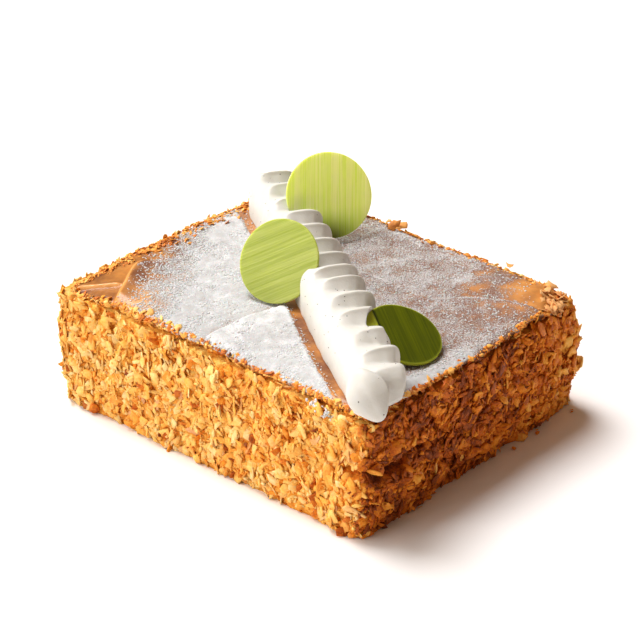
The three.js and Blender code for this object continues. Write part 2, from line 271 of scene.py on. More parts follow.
def across_rope(x, y):
    return y * ROPE_AXIS[0] - x * ROPE_AXIS[1]


def flap_edge(y):
    return blend_between(FLAP_FRONT_X, FLAP_BACK_X, smooth_step(y, -40.0, -18.0))


def flap_rise(x, y, softness):
    """The skin beside the cream stands up along one edge and sinks back behind it."""
    edge = flap_edge(y)
    step = smooth_step(x, edge - softness, edge + softness)
    fade = 1.0 - smooth_step(x, edge, edge + FLAP_FADE)
    reach = 1.0 - smooth_step(across_rope(x, y), STRIP_EDGE - 2.0 * softness, STRIP_EDGE)
    return FLAP_RISE * step * fade * reach


def crease_side(x, y):
    """How far in front of the crease a point lies; the crease curves back as it runs right."""
    along = np.maximum(x - CREASE_START[0], 0.0)
    return CREASE_START[1] + CREASE_REACH * (1.0 - np.exp(-along / 13.0)) - y


def crease_rise(x, y, softness):
    side = crease_side(x, y)
    start = smooth_step(x - CREASE_START[0], 0.0, 8.0)
    fade = np.exp(-np.abs(side) / CREASE_FADE)
    return CREASE_RISE * start * fade * np.clip(side / softness, -0.6, 1.0)


def sheet_top(x, y, softness=1.0):
    """Height of the sheet's skin away from its rim; softness is the width of its sharp edges."""
    long_wave = 0.45 * np.sin(x / 16.0 + 0.6) * np.cos(y / 14.0)
    short_wave = 0.25 * np.sin((x + 1.7 * y) / 9.0 + 1.1)
    away = np.hypot(x + LENGTH / 2, y + DEPTH / 2)
    sag = CORNER_SAG * np.exp(-((away / CORNER_SAG_REACH) ** 2))
    rises = flap_rise(x, y, softness) + crease_rise(x, y, 1.5 * softness)
    return HEIGHT - 0.8 + long_wave + short_wave + rises - sag


def rope_point(along, across, rise):
    """A point beside the rope's middle line, at a height above the sheet."""
    x = along * ROPE_AXIS[0] - across * ROPE_AXIS[1]
    y = along * ROPE_AXIS[1] + across * ROPE_AXIS[0]
    return np.stack([x, y, sheet_top(x, y) + rise], axis=-1)


def beside_line(x, y, start, end):
    """Distance to the left of the line from start to end, and how far along it as a share."""
    run = np.subtract(end, start)
    length = math.hypot(*run)
    side = (run[0] * (y - start[1]) - run[1] * (x - start[0])) / length
    share = ((x - start[0]) * run[0] + (y - start[1]) * run[1]) / length ** 2
    return side, share


def blister_side(x, y):
    """How far behind the blister's curved edge a point lies, and 1 where it is beside it, 0 past it."""
    side, share = beside_line(x, y, *BLISTER_EDGE)
    bend = np.maximum(-share, 0.0) * 24.0
    within = smooth_step(share, -0.5, -0.1) * (1.0 - smooth_step(share, 0.75, 1.1))
    return side - 0.05 * bend ** 2, within


def blister_rise(x, y):
    """The skin has come off the layers below it in a blister, with a sharp edge towards the corner."""
    side, within = blister_side(x, y)
    edge = smooth_step(side, -0.3, 0.4)
    dome = np.exp(-np.maximum(side, 0.0) / 9.0)
    return BLISTER_RISE * edge * dome * within


def leaf_side(x, y):
    """How far behind the edge of the left corner's leaf a point lies, and 1 where it is beside it."""
    side, share = beside_line(x, y, *LEAF_EDGE)
    return side, 1.0 - smooth_step(share, 0.9, 1.15)


def leaf_step(x, y):
    """A leaf of pastry that ends in a line from the left corner and leaves the next one showing."""
    side, within = leaf_side(x, y)
    return LEAF_RISE * smooth_step(side, -0.2, 0.3) * np.exp(-np.maximum(side, 0.0) / 7.0) * within


def flat_points(x, y):
    return np.stack([x, y, np.zeros_like(x)], axis=1)


def chip_drop(x, y):
    """The back right corner is broken off down to the leaves below, in steps."""
    corner = np.hypot(x - CHIP_CORNER[0], (y - CHIP_CORNER[1]) / 1.1)
    points = flat_points(x, y)
    ragged = corner + 2.2 * lumps(points, 5.5, 3.3) + 1.0 * lumps(points, 1.8, 7.1)
    outer, inner = (1.0 - smooth_step(ragged, reach, reach + 0.5) for reach in CHIP_REACHES)
    return CHIP_STEP * outer + CHIP_STEP * inner


def sheet_place(u, v):
    """A point of the square from -1 to 1, moved into the rounded outline of the sheet."""
    in_x = LENGTH / 2 - SHEET_CORNER
    in_y = DEPTH / 2 - SHEET_CORNER
    past_x = np.maximum(np.abs(u) * LENGTH / 2 - in_x, 0.0)
    past_y = np.maximum(np.abs(v) * DEPTH / 2 - in_y, 0.0)
    both = (past_x > 0) & (past_y > 0)
    far = np.where(both, np.hypot(past_x, past_y), 1.0)
    shrink = np.where(both, np.maximum(past_x, past_y) / far, 1.0)
    x = np.where(both, np.sign(u) * (in_x + past_x * shrink), u * LENGTH / 2)
    y = np.where(both, np.sign(v) * (in_y + past_y * shrink), v * DEPTH / 2)
    return x * (1.0 - (BACK_TAPER / LENGTH) * (1.0 + y / (DEPTH / 2))), y


def rim_distance(u, v):
    """How far a point of the square from -1 to 1 lies inside the sheet's rim, in millimetres."""
    return np.minimum((1.0 - np.abs(u)) * LENGTH / 2, (1.0 - np.abs(v)) * DEPTH / 2)


def skin(u, v):
    """The finished top surface of the sheet over the square from -1 to 1."""
    x, y = sheet_place(u, v)
    rim = rim_distance(u, v)
    points = flat_points(x, y)
    ragged = 1.1 * lumps(points, 3.6, 1.7) + 0.8 * lumps(points, 1.3, 4.9)
    pull = ragged * np.clip(1.0 - rim / 3.0, 0.0, 1.0) ** 2
    away = np.maximum(np.hypot(x, y), 1.0)
    x = x + pull * x / away
    y = y + pull * y / away
    roll = RIM_ROLL * np.clip(1.0 - rim / RIM_WIDTH, 0.0, 1.0) ** 2
    z = sheet_top(x, y, softness=0.3) - roll
    z += 0.22 * lumps(points, 7.0, 0.4) + 0.10 * lumps(points, 2.6, 2.1)
    z += 0.35 * lumps(points, 2.2, 8.0) * np.clip(1.0 - rim / 3.5, 0.0, 1.0)
    z += blister_rise(x, y) + leaf_step(x, y) - chip_drop(x, y)
    return x, y, z


sheet_edit = bmesh.new()
bmesh.ops.create_grid(
    sheet_edit, x_segments=round(LENGTH / SHEET_STEP), y_segments=round(DEPTH / SHEET_STEP), size=1.0,
)
square = np.array([v.co.to_tuple() for v in sheet_edit.verts])
sheet_x, sheet_y, sheet_z = skin(square[:, 0], square[:, 1])
rim = rim_distance(square[:, 0], square[:, 1])
for vertex, x, y, z in zip(sheet_edit.verts, sheet_x, sheet_y, sheet_z):
    vertex.co = (x, y, z)
# Leaves of the baked pastry show as thin steps down the side of the sheet, each with its own
# thickness and set back by its own amount.
for leaf, (drop, inset) in enumerate(SIDE_LEAVES):
    rim_edges = [edge for edge in sheet_edit.edges if edge.is_boundary]
    lower = bmesh.ops.extrude_edge_only(sheet_edit, edges=rim_edges)["geom"]
    for vertex in (g for g in lower if isinstance(g, bmesh.types.BMVert)):
        wave = noise.noise(Vector((vertex.co.x, vertex.co.y, 5.0 * leaf)) / 2.6)
        pull = 1.0 - (inset + 0.5 * wave) / math.hypot(vertex.co.x, vertex.co.y)
        depth = vertex.co.z - drop
        vertex.co = (vertex.co.x * pull, vertex.co.y * pull, max(depth, SHEET_BOTTOM + 0.05))
rim_edges = [edge for edge in sheet_edit.edges if edge.is_boundary]
lower = bmesh.ops.extrude_edge_only(sheet_edit, edges=rim_edges)["geom"]
for vertex in (g for g in lower if isinstance(g, bmesh.types.BMVert)):
    vertex.co.z = SHEET_BOTTOM
bmesh.ops.holes_fill(sheet_edit, edges=[edge for edge in sheet_edit.edges if edge.is_boundary], sides=0)
bmesh.ops.recalc_face_normals(sheet_edit, faces=sheet_edit.faces)
for vertex in sheet_edit.verts:
    vertex.co = Vector(middle) + vertex.co * MM
sheet = add_piece("glazed_pastry_sheet", sheet_edit)

# The sheet's own finish depends on where the icing sugar lies. It was sieved over a stencil: thick on
# the left of the cream, thinner on the right, none on the strip beside the cream, at the left corner
# and at the broken right one.
BARE_CORNER = (69.0, 54.0)
BARE_PATCH = (52.0, 24.0)
STRIP_MIDDLE = -12.5


def strip_edge(along):
    """How far from the rope's middle the sugar ends on its left."""
    return blend_between(-13.0, -16.2, smooth_step(along, -60.0, 60.0))


def sugar_cover(x, y):
    """How thick the sugar lies, from 0 for bare glaze to 1 for a full white crust."""
    points = flat_points(x, y)
    across = across_rope(x, y)
    along = along_rope(x, y)
    broad = lumps(points, 9.0, 0.9)
    patchy = lumps(points, 3.4, 5.3)
    behind = beside_line(x, y, *BLISTER_EDGE)[0] + 3.0 * broad + 3.5 * patchy
    left_fade = smooth_step(behind, -4.0, 26.0)
    back_rim = smooth_step(x + LENGTH / 2 + 3.0 * patchy, 1.0, 7.0)
    edge = strip_edge(along) + 0.5 * patchy
    strip = 1.0 - smooth_step(across, edge - 0.9, edge)
    left = left_fade * back_rim * strip * (0.93 + 0.1 * broad)
    away = np.hypot((x - BARE_CORNER[0]) * 0.9, y - BARE_CORNER[1])
    right_fade = smooth_step(away + 4.0 * broad + 3.0 * patchy, 12.0, 44.0)
    right = (0.29 + 0.33 * right_fade + 0.12 * broad + 0.12 * patchy) * smooth_step(away, 9.0, 22.0)
    right -= 0.10 * np.exp(-((x - BARE_PATCH[0]) ** 2 + (y - BARE_PATCH[1]) ** 2) / 260.0)
    near_cream = 1.0 - smooth_step(across, 9.0, 24.0)
    right = right + 0.08 * near_cream
    front_rim = smooth_step(x, 60.0, 69.0) * (1.0 - smooth_step(y, -12.0, 12.0))
    right = right + 0.34 * front_rim
    crease = crease_side(x, y)
    lip = np.exp(-((crease - 0.8) / 0.9) ** 2) * smooth_step(x, 36.0, 42.0)
    right = right + 0.25 * lip
    under_rope = smooth_step(across, -4.0, 2.0)
    return np.clip(blend_between(left, right * under_rope, under_rope), 0.0, 1.0)


x, y, z = vertex_places(sheet.data).T
cover = sugar_cover(x, y)
on_strip = 1.0 - smooth_step(np.abs(across_rope(x, y) - STRIP_MIDDLE), 3.0, 5.5)
strip_front = smooth_step(along_rope(x, y), -20.0, 30.0)
powder = np.maximum(cover, 0.36 * on_strip * (1.0 - strip_front))
near_top = smooth_step(z, SHEET_BOTTOM + 1.5, HEIGHT - 1.5)
write_attribute(sheet.data, "dusting", powder * near_top)
edge_toast = 1.0 - smooth_step(z, SHEET_BOTTOM, HEIGHT - 1.0)
blotches = lumps(flat_points(x, y), 8.0, 6.0)
left_corner = smooth_step(-x, 40.0, 52.0)
right_field = smooth_step(across_rope(x, y), -4.0, 4.0)
under_sugar = blend_between(0.5, 1.0, right_field) * smooth_step(cover, 0.15, 0.6)
toast_and_painted_shading = 0.52 + 0.16 * blotches + 0.30 * left_corner + 0.22 * right_field + 0.30 * under_sugar
side, within = blister_side(x, y)
toast_and_painted_shading += 0.22 * np.exp(-((side - 4.5) / 3.0) ** 2) * within
toast_and_painted_shading += 0.2 * edge_toast + 0.40 * on_strip * strip_front
# The lifted edges of the blister and the leaf are paler, partly as thinner pastry and partly as a painted
# highlight where they catch the light.
for side, within in (blister_side(x, y), leaf_side(x, y)):
    toast_and_painted_shading -= 0.45 * np.exp(-((side - 0.4) / 0.6) ** 2) * within
write_attribute(sheet.data, "toast_and_painted_shading", np.clip(toast_and_painted_shading, 0.05, 1.0))

GLAZE_COLOURS = [
    (0.0, (0.95, 0.62, 0.33)),
    (0.35, (0.84, 0.43, 0.13)),
    (0.7, (0.60, 0.24, 0.05)),
    (1.0, (0.20, 0.065, 0.02)),
]
SUGAR_WHITE = (0.60, 0.585, 0.585)


def add_mix(nodes, links, share, first, second):
    node = nodes.new("ShaderNodeMix")
    node.data_type = "RGBA"
    for socket, value in zip((node.inputs[0], node.inputs[6], node.inputs[7]), (share, first, second)):
        if isinstance(value, (int, float)):
            socket.default_value = value
        elif isinstance(value, tuple):
            socket.default_value = (*value, 1.0)
        else:
            links.new(value, socket)
    return node.outputs[2]


glaze_material, nodes, links, shader = new_material("caramel_glaze")
blotch = add_noise(nodes, links, 5.0 * MM, detail=5.0, roughness=0.6)
toast_and_painted_shading = add_scaled(nodes, links, blotch.outputs["Fac"], 0.5, -0.25)
toast_and_painted_shading = add_math(nodes, links, "ADD", toast_and_painted_shading, add_attribute(nodes, "toast_and_painted_shading"))
ramp = add_ramp(nodes, GLAZE_COLOURS)
links.new(toast_and_painted_shading, ramp.inputs["Fac"])
grain = add_noise(nodes, links, 0.42 * MM, detail=2.0, roughness=0.6)
dusting = add_attribute(nodes, "dusting")
speck = add_scaled(nodes, links, dusting, 0.6, -0.8)
speck = add_math(nodes, links, "ADD", speck, grain.outputs["Fac"])
speck = add_math(nodes, links, "MULTIPLY", speck, 8.0, clamp=True)
film = add_math(nodes, links, "MULTIPLY", dusting, 0.22, clamp=True)
speck = add_math(nodes, links, "MAXIMUM", speck, film)
colour = add_mix(nodes, links, speck, ramp.outputs["Color"], SUGAR_WHITE)
links.new(colour, shader.inputs["Base Color"])
gloss = add_scaled(nodes, links, speck, 0.55, 0.3)
links.new(gloss, shader.inputs["Roughness"])
wrinkle = add_noise(nodes, links, 1.4 * MM, detail=4.0)
height = add_math(nodes, links, "ADD", wrinkle.outputs["Fac"], speck)
links.new(add_bump(nodes, links, height, 0.12 * MM), shader.inputs["Normal"])
shader.inputs["Specular IOR Level"].default_value = 0.35
shader.inputs["Subsurface Weight"].default_value = 0.12
shader.inputs["Subsurface Radius"].default_value = (1.0, 0.45, 0.2)
shader.inputs["Subsurface Scale"].default_value = 1.2 * MM
sheet.data.materials.append(glaze_material)
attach(sheet, "root")
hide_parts("top_pastry_sheet")

# ---- Coat of pastry flakes ------------------------------------------------------------------------
# Offcuts of baked puff pastry, crushed and pressed on by hand: crumbs, thin flakes, long slivers and
# a few broad leaves, lying every way round, gold to brown, with painted shade making them browner where
# they lie deep and on the right face.

# How much browner a flake is painted where it lies deep, as painted shade between flakes.
DEPTH_PAINTED_SHADE = 0.14
LEAF_TAN = (0.72, 0.36, 0.17)

rng = np.random.default_rng(11)


def flake_shape(sides, width, thickness, curl):
    """A thin broken shard, one unit long, with a jagged outline, closed all round."""
    flake = bmesh.new()
    bmesh.ops.create_circle(flake, cap_ends=True, segments=sides, radius=0.5)
    for vertex in flake.verts:
        vertex.co *= rng.uniform(0.55, 1.3)
    bmesh.ops.poke(flake, faces=flake.faces[:])
    top = bmesh.ops.extrude_face_region(flake, geom=flake.faces[:], use_keep_orig=True)["geom"]
    for vertex in (g for g in top if isinstance(g, bmesh.types.BMVert)):
        vertex.co.z = thickness * rng.uniform(0.5, 1.6)
        vertex.co.x *= 0.88
        vertex.co.y *= 0.88
    twist = rng.uniform(-0.5, 0.5) * curl
    for vertex in flake.verts:
        x, y = vertex.co.x, vertex.co.y * width
        bend = curl * (x * x - 0.08) + twist * x * y / max(width, 0.2)
        vertex.co = (x, y, vertex.co.z + bend)
    bmesh.ops.recalc_face_normals(flake, faces=flake.faces)
    bmesh.ops.triangulate(flake, faces=flake.faces)
    flake.verts.index_update()
    points = np.array([v.co.to_tuple() for v in flake.verts])
    triangles = np.array([[v.index for v in face.verts] for face in flake.faces])
    flake.free()
    return points, triangles


def crumb_shape(tiny=False):
    """A crumb: a little broken lump, with fewer faces where it is no bigger than a grain."""
    crumb = bmesh.new()
    if tiny:
        bmesh.ops.create_uvsphere(crumb, u_segments=4, v_segments=2, radius=0.5)
    else:
        bmesh.ops.create_icosphere(crumb, subdivisions=1, radius=0.5)
    for vertex in crumb.verts:
        vertex.co *= rng.uniform(0.65, 1.25)
        vertex.co.z *= 0.7
    points = np.array([v.co.to_tuple() for v in crumb.verts])
    triangles = np.array([[v.index for v in face.verts] for face in crumb.faces])
    crumb.free()
    return points, triangles


def triangle_corners(piece):
    """Corners of a piece's triangles, in millimetres from the slice's middle."""
    mesh = piece.data
    mesh.calc_loop_triangles()
    corners = np.empty(len(mesh.loop_triangles) * 3, dtype=np.int32)
    mesh.loop_triangles.foreach_get("vertices", corners)
    return vertex_places(mesh)[corners].reshape(-1, 3, 3)


def face_areas(corners):
    """Twice the area of each triangle, and the part of it that faces up, less than 0 if down."""
    normals = np.cross(corners[:, 1] - corners[:, 0], corners[:, 2] - corners[:, 0])
    return np.linalg.norm(normals, axis=1), normals[:, 2]


def pick_places(corners, weights, count):
    """Random points on triangles, as many for each as its weight says, with the way each faces."""
    chosen = rng.choice(len(corners), size=count, p=weights / weights.sum())
    first, second = rng.random(count), rng.random(count)
    over = first + second > 1.0
    first[over], second[over] = 1.0 - first[over], 1.0 - second[over]
    a, b, c = corners[chosen].transpose(1, 0, 2)
    points = a + (b - a) * first[:, None] + (c - a) * second[:, None]
    facing = np.cross(b - a, c - a)
    return points, facing / np.linalg.norm(facing, axis=1)[:, None]


def lay_out(facing, turn, tilt):
    """Turning matrices that lay a flake flat on a face, turned in its plane, then tipped up."""
    up = np.tile([0.0, 0.0, 1.0], (len(facing), 1))
    up[np.abs(facing[:, 2]) > 0.9] = (1.0, 0.0, 0.0)
    first = np.cross(up, facing)
    first /= np.linalg.norm(first, axis=1)[:, None]
    second = np.cross(facing, first)
    cos, sin = np.cos(turn)[:, None], np.sin(turn)[:, None]
    along = cos * first + sin * second
    beside = cos * second - sin * first
    cos, sin = np.cos(tilt)[:, None], np.sin(tilt)[:, None]
    return np.stack([cos * along + sin * facing, beside, cos * facing - sin * along], axis=2)


def join_copies(name, shapes, centres, turns, sizes, values, facing=None, lift=0.0, tan=0.0):
    """One mesh from many copies of a few shapes, each toasted its own way, and browner the deeper it
    lies, as painted shade.
    """
    kinds = rng.integers(len(shapes), size=len(centres))
    tan = np.broadcast_to(tan, len(centres))
    points, triangles, toasts, tans, start = [], [], [], [], 0
    for kind, (shape, faces) in enumerate(shapes):
        mine = np.flatnonzero(kinds == kind)
        placed = np.einsum("nij,vj->nvi", turns[mine], shape) * sizes[mine, None, None]
        toast_and_painted_shading = np.repeat(values[mine, None], len(shape), axis=1)
        # Painted shade: the parts of each flake that lie deeper are browner.
        if facing is not None:
            rise = np.einsum("nvi,ni->nv", placed, facing[mine]) + lift[mine, None]
            toast_and_painted_shading = np.clip(toast_and_painted_shading - DEPTH_PAINTED_SHADE * np.clip(rise - 0.3, -1.0, 1.4), 0.0, 1.0)
        placed += centres[mine, None, :]
        offsets = start + np.arange(len(mine)) * len(shape)
        points.append(placed.reshape(-1, 3))
        triangles.append((faces[None] + offsets[:, None, None]).reshape(-1, 3))
        toasts.append(toast_and_painted_shading.ravel())
        tans.append(np.repeat(tan[mine], len(shape)))
        start += len(mine) * len(shape)
    points, triangles = np.concatenate(points), np.concatenate(triangles)
    points[:, 2] = np.maximum(points[:, 2], 0.05)
    mesh = bpy.data.meshes.new(name)
    mesh.vertices.add(len(points))
    mesh.loops.add(len(triangles) * 3)
    mesh.polygons.add(len(triangles))
    mesh.loops.foreach_set("vertex_index", triangles.astype(np.int32).ravel())
    mesh.polygons.foreach_set("loop_start", np.arange(0, len(triangles) * 3, 3, dtype=np.int32))
    move_vertices(mesh, points)
    mesh.validate()
    write_attribute(mesh, "toast_and_painted_shading", np.concatenate(toasts))
    write_attribute(mesh, "tan", np.concatenate(tans))
    piece = bpy.data.objects.new(name, mesh)
    bpy.context.collection.objects.link(piece)
    return piece


flake_material, nodes, links, shader = new_material("toasted_flakes")
skin_noise = add_noise(nodes, links, 1.1 * MM, detail=4.0, roughness=0.6)
toast_and_painted_shading = add_scaled(nodes, links, skin_noise.outputs["Fac"], 0.6, -0.3)
toast_and_painted_shading = add_math(nodes, links, "ADD", toast_and_painted_shading, add_attribute(nodes, "toast_and_painted_shading"))
ramp = add_ramp(nodes, CRUST_COLOURS)
links.new(toast_and_painted_shading, ramp.inputs["Fac"])
colour = add_mix(nodes, links, add_attribute(nodes, "tan"), ramp.outputs["Color"], LEAF_TAN)
links.new(colour, shader.inputs["Base Color"])
links.new(add_bump(nodes, links, skin_noise.outputs["Fac"], 0.35 * MM), shader.inputs["Normal"])
shader.inputs["Roughness"].default_value = 0.5
shader.inputs["Specular IOR Level"].default_value = 0.18
shader.inputs["Subsurface Weight"].default_value = 0.12
shader.inputs["Subsurface Radius"].default_value = (1.0, 0.6, 0.3)
shader.inputs["Subsurface Scale"].default_value = 0.4 * MM

# The coat sticks to the sides of the block and of the sheet, less in the split. Extruding left the
# sheet's faces in a chance order, so they are put in order of place to lay every flake the same way
# each run.
bed_corners = triangle_corners(bed)
sheet_corners = triangle_corners(sheet)
in_order = np.lexsort(sheet_corners.mean(axis=1).round(4).T)
side_corners = np.concatenate([bed_corners, sheet_corners[in_order]])
area, upward = face_areas(side_corners)
level = np.abs(upward) / np.maximum(area, 1e-9)
centre = side_corners.mean(axis=1)
inside_edge = np.minimum(LENGTH / 2 - np.abs(centre[:, 0]), DEPTH / 2 - np.abs(centre[:, 1]))
from_sheet = np.arange(len(side_corners)) >= len(bed_corners)
sheet_share = 1.3 * (level < 0.93) * (inside_edge < 2.2)
bed_share = 1.0 * (level < 0.75) * (inside_edge < 5.0)
side_weights = area * (1.0 - 0.9 * split_share(centre)) * np.where(from_sheet, sheet_share, bed_share)


def lay_flakes(name, shapes, points, facing, sizes, tilt, lift, toast_and_painted_shading, tan=0.0):
    """Makes one piece of the coat from flakes lying at the given points."""
    count = len(points)
    centres = points + facing * lift[:, None]
    centres[:, 2] = np.maximum(centres[:, 2], 0.25 * sizes)
    turns = lay_out(facing, rng.uniform(0.0, 2.0 * math.pi, count), rng.normal(0.0, tilt, count))
    piece = join_copies(name, shapes, centres, turns, sizes, toast_and_painted_shading, facing, lift, tan)
    piece.data.materials.append(flake_material)
    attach(piece, "root")
    return piece


def coat_with(name, shapes, count, sizes, tilt, sink, darker, tan_share):
    """Scatters flakes of a few shapes over the sides, finer near the rim, browner in clusters; on the
    right they are browner, with fewer pale leaves, as painted shade of the side away from the lights,
    less so towards the back; sink is how deep the lowest are pressed in, darker how much more toasted
    they are."""
    smallest, largest = sizes
    points, facing = pick_places(side_corners, side_weights, count)
    facing = facing + rng.normal(0.0, 0.18, facing.shape)
    facing[:, 2] *= 0.6
    facing /= np.linalg.norm(facing, axis=1)[:, None]
    sizes = smallest + (largest - smallest) * rng.random(count) ** 2
    sizes *= blend_between(1.0, 0.55, smooth_step(points[:, 2], HEIGHT - 6.0, HEIGHT - 2.5))
    lift = rng.uniform(0.0, 1.0, count) * 0.3 * sizes ** 0.5 - sink
    patches = 0.14 * lumps(points, 14.0, 3.0) + 0.20 * lumps(points, 6.0, 2.0)
    patches += 0.12 * lumps(points, 2.6, 9.0)
    # Painted shade on the right face, less towards its back end.
    right_end = smooth_step(points[:, 1], 0.0, DEPTH / 2)
    on_right = smooth_step(facing[:, 0], 0.3, 0.8)
    shade_side = on_right * blend_between(0.54, 0.32, right_end)
    browned = 0.20 * smooth_step(lumps(points, 4.5, 15.0), 0.3, 0.6)
    browned += 0.05 * smooth_step(points[:, 0], 0.0, 60.0)
    toast_and_painted_shading = 0.26 + darker + patches + browned + shade_side + rng.normal(0.0, 0.09, count)
    tan = rng.random(count) ** 2 * tan_share * (1.0 - 0.75 * on_right)
    return lay_flakes(name, shapes, points, facing, sizes, tilt, lift, toast_and_painted_shading, tan)


def flake_shapes(kinds, sides, widths, thicknesses, curl):
    return [
        flake_shape(sides, rng.uniform(*widths), rng.uniform(*thicknesses), rng.uniform(-curl, curl))
        for _ in range(kinds)
    ]


crumb_shapes = [crumb_shape() for _ in range(10)]
small_shapes = flake_shapes(18, sides=7, widths=(0.5, 0.95), thicknesses=(0.04, 0.09), curl=0.4)
sliver_shapes = flake_shapes(12, sides=6, widths=(0.24, 0.45), thicknesses=(0.04, 0.08), curl=0.4)
leaf_shapes = flake_shapes(14, sides=9, widths=(0.55, 0.9), thicknesses=(0.04, 0.07), curl=0.3)
coat_with(
    "coat_crumbs", crumb_shapes, count=7000, sizes=(0.7, 2.2),
    tilt=0.6, sink=0.1, darker=0.04, tan_share=0.1,
)
coat_with(
    "coat_small_flakes", small_shapes, count=6000, sizes=(2.0, 6.6),
    tilt=0.18, sink=0.2, darker=0.0, tan_share=0.3,
)
coat_with(
    "coat_slivers", sliver_shapes, count=4400, sizes=(2.2, 7.2),
    tilt=0.20, sink=0.1, darker=0.02, tan_share=0.25,
)
coat_with(
    "coat_broad_leaves", leaf_shapes, count=460, sizes=(4.0, 8.5),
    tilt=0.10, sink=0.3, darker=0.02, tan_share=0.9,
)

# The rim of the sheet is crusted with the same flakes, widest along the left end.
LEFT, RIGHT, FRONT, BACK = range(4)
RIM_FLAKES = 2100
RIM_SHARES = [0.49, 0.10, 0.13, 0.28]
RIM_INSETS = np.array([3.1, 0.35, 0.6, 1.5])
RUN_END = 0.99
side = rng.choice(4, size=RIM_FLAKES, p=RIM_SHARES)
inset = np.abs(rng.normal(0.0, 1.0, RIM_FLAKES)) * RIM_INSETS[side]
run = rng.uniform(-RUN_END, RUN_END, RIM_FLAKES)
inset *= np.where(side == LEFT, smooth_step(run, -1.0, -0.5) + 0.25, 1.0)
in_x = inset / (LENGTH / 2)
in_y = inset / (DEPTH / 2)
u = np.select([side == LEFT, side == RIGHT], [in_x - 1.0, 1.0 - in_x], run)
v = np.select([side == FRONT, side == BACK], [in_y - 1.0, 1.0 - in_y], run)
points = np.stack(skin(u, v), axis=1)
facing = rng.normal(0.0, 0.3, points.shape) + (0.0, 0.0, 1.0)
facing += np.stack([points[:, 0] / LENGTH, points[:, 1] / DEPTH, np.zeros(RIM_FLAKES)], axis=1)
facing /= np.linalg.norm(facing, axis=1)[:, None]
sizes = 0.9 + 2.6 * rng.random(RIM_FLAKES) ** 2
toast_and_painted_shading = 0.50 + 0.3 * lumps(points, 6.0, 4.0) + rng.normal(0.0, 0.12, RIM_FLAKES)
burnt = 0.4 * np.exp(-((points[:, 0] - 7.0) / 9.0) ** 2)
toast_and_painted_shading += (0.10 + burnt) * (points[:, 1] < -50.0)
lay_flakes(
    "rim_flakes", small_shapes + sliver_shapes, points, facing, sizes,
    tilt=0.35, lift=0.05 * sizes, toast_and_painted_shading=toast_and_painted_shading, tan=0.2,
)

# Leaves split off the broken corner stand up like shavings.
SHARDS = 40
angle = rng.uniform(math.pi * 0.95, math.pi * 1.6, SHARDS)
away = rng.uniform(7.0, 15.0, SHARDS)
x = CHIP_CORNER[0] + away * np.cos(angle)
y = CHIP_CORNER[1] + away * np.sin(angle)
u = np.clip(x / (LENGTH / 2 - 1.0), -RUN_END, RUN_END)
v = np.clip(y / (DEPTH / 2), -RUN_END, RUN_END)
x, y, z = skin(u, v)
points = np.stack([x, y, z + 0.2], axis=1)
facing = rng.normal(0.0, 0.35, points.shape) + (0.1, 0.1, 1.0)
facing /= np.linalg.norm(facing, axis=1)[:, None]
sizes = rng.uniform(2.5, 7.5, SHARDS)
shard_shapes = flake_shapes(12, sides=9, widths=(0.5, 0.9), thicknesses=(0.03, 0.05), curl=0.7)
toast_and_painted_shading = 0.38 + rng.normal(0.0, 0.1, SHARDS)
lay_flakes(
    "corner_shards", shard_shapes, points, facing, sizes,
    tilt=0.25, lift=0.04 * sizes, toast_and_painted_shading=toast_and_painted_shading, tan=0.7,
)

# A few flakes curl up on the back rim.
CURLS = [
    {"place": (-11.0, 52.5, HEIGHT + 0.6), "facing": (0.5, -0.75, 0.45), "size": 6.5, "toast_and_painted_shading": 0.68},
    {"place": (-8.5, 54.0, HEIGHT + 0.2), "facing": (0.1, -0.6, 0.8), "size": 4.5, "toast_and_painted_shading": 0.55},
    {"place": (-14.5, 53.5, HEIGHT), "facing": (-0.5, -0.3, 0.8), "size": 4.0, "toast_and_painted_shading": 0.4},
    {"place": (40.0, 55.0, HEIGHT), "facing": (0.1, -0.1, 1.0), "size": 3.6, "toast_and_painted_shading": 0.55},
]
facing = np.array([curl["facing"] for curl in CURLS])
facing /= np.linalg.norm(facing, axis=1)[:, None]
curl_shapes = flake_shapes(len(CURLS), sides=9, widths=(0.5, 0.8), thicknesses=(0.06, 0.08), curl=1.3)
lay_flakes(
    "curled_flakes", curl_shapes, np.array([curl["place"] for curl in CURLS]), facing,
    sizes=np.array([curl["size"] for curl in CURLS]), tilt=0.1, lift=np.full(len(CURLS), 0.6),
    toast_and_painted_shading=np.array([curl["toast_and_painted_shading"] for curl in CURLS]), tan=0.4,
)

# A few crumbs have dropped on the table along the shaded side.
DROPPED = 9
points = np.stack([
    rng.uniform(69.5, 72.5, DROPPED), rng.uniform(-DEPTH / 2, DEPTH / 2, DROPPED), np.zeros(DROPPED),
], axis=1)
lay_flakes(
    "dropped_crumbs", crumb_shapes + small_shapes, points, np.tile([0.0, 0.0, 1.0], (DROPPED, 1)),
    sizes=rng.uniform(0.8, 2.6, DROPPED), tilt=0.2, lift=np.full(DROPPED, 0.3),
    toast_and_painted_shading=rng.uniform(0.4, 0.75, DROPPED),
)

# ---- Icing sugar ----------------------------------------------------------------------------------
# Icing sugar, sieved on cold: a matt white crust up to half a millimetre thick with a crisp edge at
# the strip beside the cream, which thins into loose grains over the glaze.

SUGAR_STEP = 0.42
SUGAR_THICKNESS = 0.5
SUGAR_REACH = 0.995
SUGAR_COLOURS = [
    (0.15, (0.76, 0.76, 0.765)),
    (0.5, (0.55, 0.55, 0.555)),
    (0.8, (0.50, 0.485, 0.48)),
    (1.0, (0.42, 0.35, 0.32)),
]

